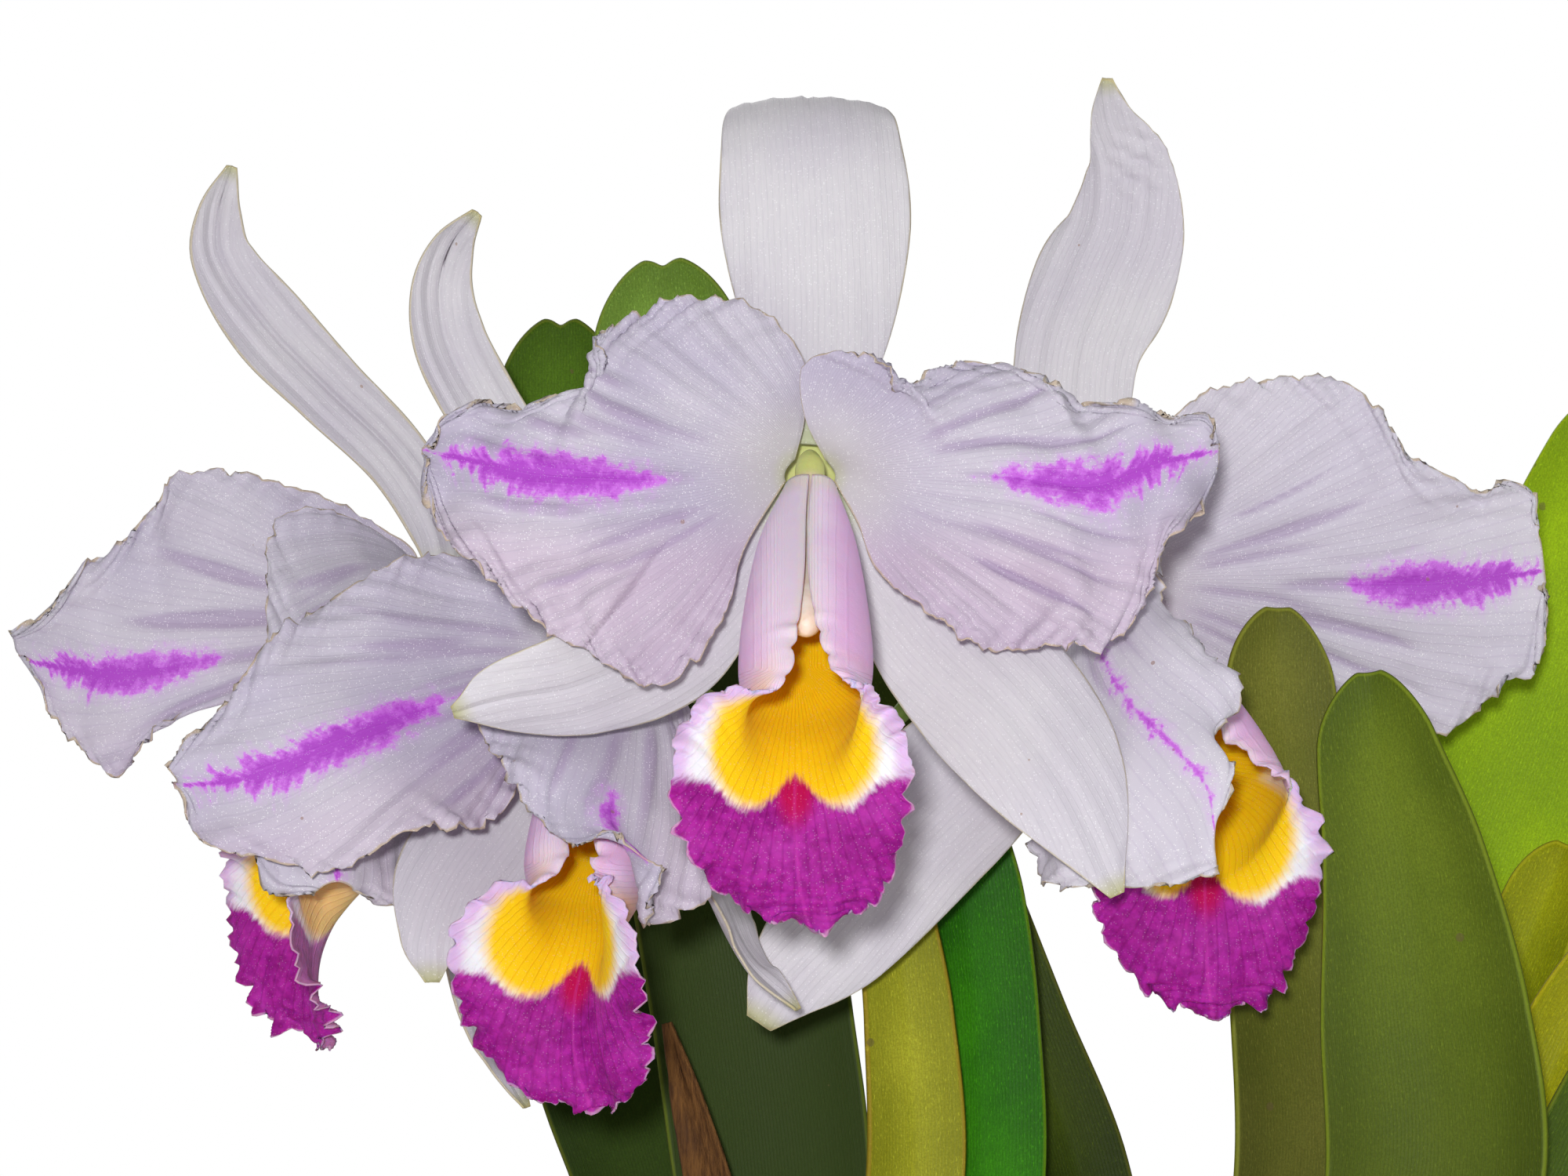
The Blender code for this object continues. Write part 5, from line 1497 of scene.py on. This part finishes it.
for i, (name, (foot, top)) in enumerate(BULBS.items()):
    low = np.array([foot[0] * MM, foot[1] * MM, BED])
    high = seen(top)
    line = Line([low, low + (high - low) * 0.45 + [0, 0, 0.004], high])
    mesh = round_body("orchid." + name, line, BULB_RADII, 48, 60, BULB_RIBS, BULB_RIB_DEPTH)
    grown(mesh, BULB_FINISH, "pseudobulb", name)
    for k, (start, end) in enumerate([(0.04, 0.34), (0.10, 0.58 - 0.05 * (i % 3))]):
        grid, t, turn = bract_grid(line, BULB_RADII, start, end, 1.9 * i + 2.2 * k)
        thick = np.full(grid.shape[:2], BRACT_THICK * MM)
        mesh = closed_sheet(f"orchid.bract_{i + 1}_{k + 1}", grid, thick, {}, t, turn / 6.3)
        grown(mesh, BRACT_FINISH, "sheath")
print("pseudobulbs:", len(BULBS))

# %% Growing the rhizome and the dry sheath
crawl = [(x * MM, y * MM, BED + RHIZOME_RADIUS * MM) for x, y in RHIZOME_LINE]
radii = [0.5] + [RHIZOME_RADIUS + 0.3 * (-1) ** k for k in range(13)] + [0.5]
mesh = round_body("orchid.rhizome", Line(crawl), radii, 32, 120)
grown(mesh, RHIZOME_FINISH, "rhizome", "rhizome")

spec = (SHEATH_LINE, SHEATH_WIDTHS, (-0.3, -1, 0), (-0.3, -1, 0), 3)
grid, look, t, v, values = blade_grid(spec, *LEAF_GRID)
grid = folded(grid, look, v, values, 0.7, 0.6, 0.0)
thick = np.full(grid.shape[:2], SHEATH_THICK * MM)
mesh = closed_sheet("orchid.dry_sheath", grid, thick, values, t, v)
grown(mesh, SHEATH_FINISH, "sheath", "dry_sheath")
print("rhizome and sheath grown")

# %% [markdown]
# ## Bark
# Orchids are potted in chips of bark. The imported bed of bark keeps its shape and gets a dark
# crumbly finish, and loose chips lie over it. There are hundreds, each a rough block, so
# Geometry Nodes scatter them: points on a disc, a block on each point, turned and sized at
# random from a fixed seed, and then every corner pushed about so that no two are alike.

# %% Bark finish
def bark_finish(name, tone):
    """Bark; with tone, each chip has its own."""
    finish, place = new_finish(name)
    grain = noise(place, 420.0, 4.0, 0.65)
    cloud = noise(place, 110.0, 3.0)
    colour = blend(rise(grain, 0.3, 0.7), (70, 46, 34), (124, 88, 64))
    if tone:
        own = value_of(finish, "chip_tone")
        colour = blend(rise(own, 0.45, 1.0, 0.0, 0.75), colour, (156, 112, 78))
        colour = blend(rise(own, 0.35, 0.0, 0.0, 0.7), colour, (54, 40, 34))
    colour = blend(rise(cloud, 0.55, 0.75, 0.0, 0.5), colour, (130, 118, 104))
    rough = rise(cloud, 0.3, 0.7, 0.80, 0.95)
    return feed(finish, colour, rough, bumped(grain, 1.0, 0.0012), Specular_IOR_Level=0.2)


# %% Scattering the chips
def chip_tree(finish):
    tree = bpy.data.node_groups.new("bark_chips", "GeometryNodeTree")
    face = tree.interface
    face.new_socket("Bed", in_out="INPUT", socket_type="NodeSocketGeometry")
    for key, value in (("Density", 26000.0), ("Length", 0.013), ("Roughness", 0.0034)):
        face.new_socket(key, in_out="INPUT", socket_type="NodeSocketFloat").default_value = value
    face.new_socket("Chips", in_out="OUTPUT", socket_type="NodeSocketGeometry")
    entry = add(tree, "NodeGroupInput").outputs
    out = add(tree, "NodeGroupOutput").inputs
    spots = add(tree, "GeometryNodeDistributePointsOnFaces",
                {"Mesh": entry["Bed"], "Density": entry["Density"], "Seed": 7})
    thin = times(entry["Length"], 0.36)
    broad = times(entry["Length"], 0.62)
    block = add(tree, "GeometryNodeMeshCube",
                {"Size": joined(entry["Length"], broad, thin),
                 "Vertices X": 3, "Vertices Y": 3, "Vertices Z": 2})
    spin = add(tree, "FunctionNodeRandomValue",
               {"Min": (-0.45, -0.45, 0.0), "Max": (0.45, 0.45, 6.28), "Seed": 11},
               data_type="FLOAT_VECTOR")
    grow = add(tree, "FunctionNodeRandomValue",
               {"Min": (0.5, 0.5, 0.6), "Max": (1.25, 1.2, 1.2), "Seed": 13},
               data_type="FLOAT_VECTOR")
    laid = add(tree, "GeometryNodeInstanceOnPoints",
               {"Points": spots.outputs["Points"], "Instance": block.outputs["Mesh"],
                "Rotation": spin.outputs[0], "Scale": grow.outputs[0]})
    tone = add(tree, "FunctionNodeRandomValue", data_type="FLOAT")
    kept = add(tree, "GeometryNodeStoreNamedAttribute",
               {"Geometry": laid.outputs[0], "Name": "chip_tone", "Value": tone.outputs[1]},
               data_type="FLOAT", domain="INSTANCE")
    real = add(tree, "GeometryNodeRealizeInstances", {"Geometry": kept.outputs[0]})
    where = add(tree, "GeometryNodeInputPosition")
    push = add(tree, "ShaderNodeTexNoise", {"Vector": where.outputs[0], "Scale": 170.0})
    centred = add(tree, "ShaderNodeVectorMath",
                  {0: push.outputs["Color"], 1: (0.5, 0.5, 0.5)}, operation="SUBTRACT")
    shift = add(tree, "ShaderNodeVectorMath",
                {0: centred.outputs[0], "Scale": entry["Roughness"]}, operation="SCALE")
    rough = add(tree, "GeometryNodeSetPosition",
                {"Geometry": real.outputs[0], "Offset": shift.outputs[0]})
    worn = add(tree, "GeometryNodeSetMaterial",
               {"Geometry": rough.outputs[0], "Material": finish})
    give(out, Chips=worn.outputs[0])
    return tree


def evaluated(thing):
    """A mesh of what an object's modifiers make of it."""
    graph = bpy.context.evaluated_depsgraph_get()
    return bpy.data.meshes.new_from_object(thing.evaluated_get(graph))


CHIP_BED_RADIUS = 0.0635
CHIP_BED_LIFT = 0.0035
CHIPS_IN_A_SQUARE_METRE = 24000.0
disc = bmesh.new()
bmesh.ops.create_circle(disc, cap_ends=True, segments=48, radius=CHIP_BED_RADIUS,
                        matrix=Matrix.Translation((0, 0, MEDIUM_TOP + CHIP_BED_LIFT)))
chips = put("orchid.bark_chips", from_bmesh("bed_disc", disc))
scatter = chips.modifiers.new("scatter", "NODES")
scatter.node_group = chip_tree(bark_finish("bark_chip", True))
for item in scatter.node_group.interface.items_tree:
    if item.name == "Density" and item.in_out == "INPUT":
        scatter[item.identifier] = CHIPS_IN_A_SQUARE_METRE
made = evaluated(chips)
chips.modifiers.clear()
chips.data = made
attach(chips, "root")
packed_bed = frame["nodes"]["bark_medium"]
packed_bed.data.materials.clear()
packed_bed.data.materials.append(bark_finish("bark_bed", False))
print("bark chips:", len(made.vertices) // 18)

# %% [markdown]
# ## The pot
# The plant stands in an unglazed clay pot with a plain band and four drain holes. It was
# turned on a wheel, so a profile swept round by the Screw modifier is how it was really
# made. Rounding the profile's corners first gives its soft edges, and four cutters bore the
# holes. Its clay is a warm red-brown with turning lines and a chalky bloom of salts.

# %% Pot finish
def clay_finish():
    finish, place = new_finish("fired_clay")
    cloud = noise(place, 22.0, 5.0, 0.6)
    grit = noise(place, 900.0, 3.0, 0.6)
    colour = blend(rise(cloud, 0.3, 0.7), (172, 100, 66), (196, 124, 86))
    colour = blend(rise(grit, 0.35, 0.75, 0.0, 0.35), colour, (214, 150, 112))
    height = add(finish.node_tree, "ShaderNodeSeparateXYZ", {0: place}).outputs["Z"]
    rings = add(finish.node_tree, "ShaderNodeTexNoise",
                {"W": times(height, 520.0), "Scale": 1.0, "Detail": 2.0},
                noise_dimensions="1D").outputs["Fac"]
    damp = rise(plus(height, times(cloud, 0.05)), 0.085, 0.045, 0.0, 0.4)
    colour = blend(damp, colour, (138, 80, 56))
    salt = rise(noise(place, 34.0, 5.0, 0.7), 0.56, 0.72, 0.0, 0.6)
    colour = blend(salt, colour, (220, 206, 190))
    rough = rise(cloud, 0.3, 0.7, 0.80, 0.92)
    relief = plus(times(rings, 0.35), times(grit, 0.25))
    return feed(finish, colour, rough, bumped(relief, 0.7, 0.001), Specular_IOR_Level=0.25)


# %% Turning the pot
POT_HEIGHT = 0.130
POT_BASE_RADIUS = 0.060
POT_TOP_RADIUS = 0.081
POT_RIM_RADIUS = 0.087
POT_RIM_HEIGHT = 0.024
POT_RIM_TAPER = 0.002
POT_WALL = 0.006
POT_FLOOR = 0.008
POT_CORNER = 0.0018
DRAIN_HOLES = 4
DRAIN_RADIUS = 0.006
DRAIN_CIRCLE = 0.030


def rounded(profile, radius, steps):
    """Rounds a profile's inner corners, leaving its two ends on the axis."""
    points = [np.array(profile[0], float)]
    for before, corner, after in zip(profile, profile[1:], profile[2:]):
        corner = np.array(corner, float)
        back = np.array(before) - corner
        ahead = np.array(after) - corner
        reach = min(radius, 0.4 * np.linalg.norm(back), 0.4 * np.linalg.norm(ahead))
        a = corner + unit(back) * reach
        b = corner + unit(ahead) * reach
        for s in np.linspace(0, 1, steps):
            points.append(a * (1 - s) ** 2 + corner * 2 * s * (1 - s) + b * s * s)
    points.append(np.array(profile[-1], float))
    return points


shoulder = POT_HEIGHT - POT_RIM_HEIGHT
slope = (POT_TOP_RADIUS - POT_BASE_RADIUS) / POT_HEIGHT
inside = [POT_BASE_RADIUS + slope * h - POT_WALL for h in (POT_FLOOR, POT_HEIGHT)]
profile = [(0, POT_FLOOR), (inside[0], POT_FLOOR), (inside[1], POT_HEIGHT),
           (POT_RIM_RADIUS, POT_HEIGHT), (POT_RIM_RADIUS - POT_RIM_TAPER, shoulder),
           (POT_BASE_RADIUS + slope * shoulder, shoulder), (POT_BASE_RADIUS, 0), (0, 0)]
turning = bmesh.new()
ends = [turning.verts.new((x, 0, z)) for x, z in rounded(profile, POT_CORNER, 5)]
for a, b in zip(ends, ends[1:]):
    turning.edges.new((a, b))
pot = put("pot_turned", from_bmesh("pot_profile", turning))
wheel = pot.modifiers.new("wheel", "SCREW")
wheel.steps = wheel.render_steps = 120
wheel.use_merge_vertices = True
wheel.merge_threshold = 0.00005
cutters = []
for k in range(DRAIN_HOLES):
    angle = math.pi / 4 + k * 2 * math.pi / DRAIN_HOLES
    spot = (DRAIN_CIRCLE * math.cos(angle), DRAIN_CIRCLE * math.sin(angle), POT_FLOOR / 2)
    bore = bmesh.new()
    bmesh.ops.create_cone(bore, cap_ends=True, segments=40, radius1=DRAIN_RADIUS,
                          radius2=DRAIN_RADIUS, depth=3 * POT_FLOOR,
                          matrix=Matrix.Translation(spot))
    cutters.append(put("drain_cutter", from_bmesh("drain_cutter", bore)))
    cut = pot.modifiers.new("drain", "BOOLEAN")
    cut.operation = "DIFFERENCE"
    cut.object = cutters[-1]
made = evaluated(pot)
for spare in [pot] + cutters:
    bpy.data.objects.remove(spare, do_unlink=True)
made.name = "orchid.pot"
made.shade_smooth()
made.set_sharp_from_angle(angle=math.radians(50))
grown(made, clay_finish(), "pot", "pot")
print("pot faces:", len(made.polygons))

# %% [markdown]
# ## Pieces and triangles
# The dressed plant keeps the size of its solids. Its pieces are counted, with their triangles.

# %% Counting the pieces and their triangles
parts = [o for o in bpy.context.scene.objects if o.name.startswith("orchid.")]
total = 0
for part in parts:
    part.data.calc_loop_triangles()
    total += len(part.data.loop_triangles)
print("pieces:", len(parts), "triangles:", total)
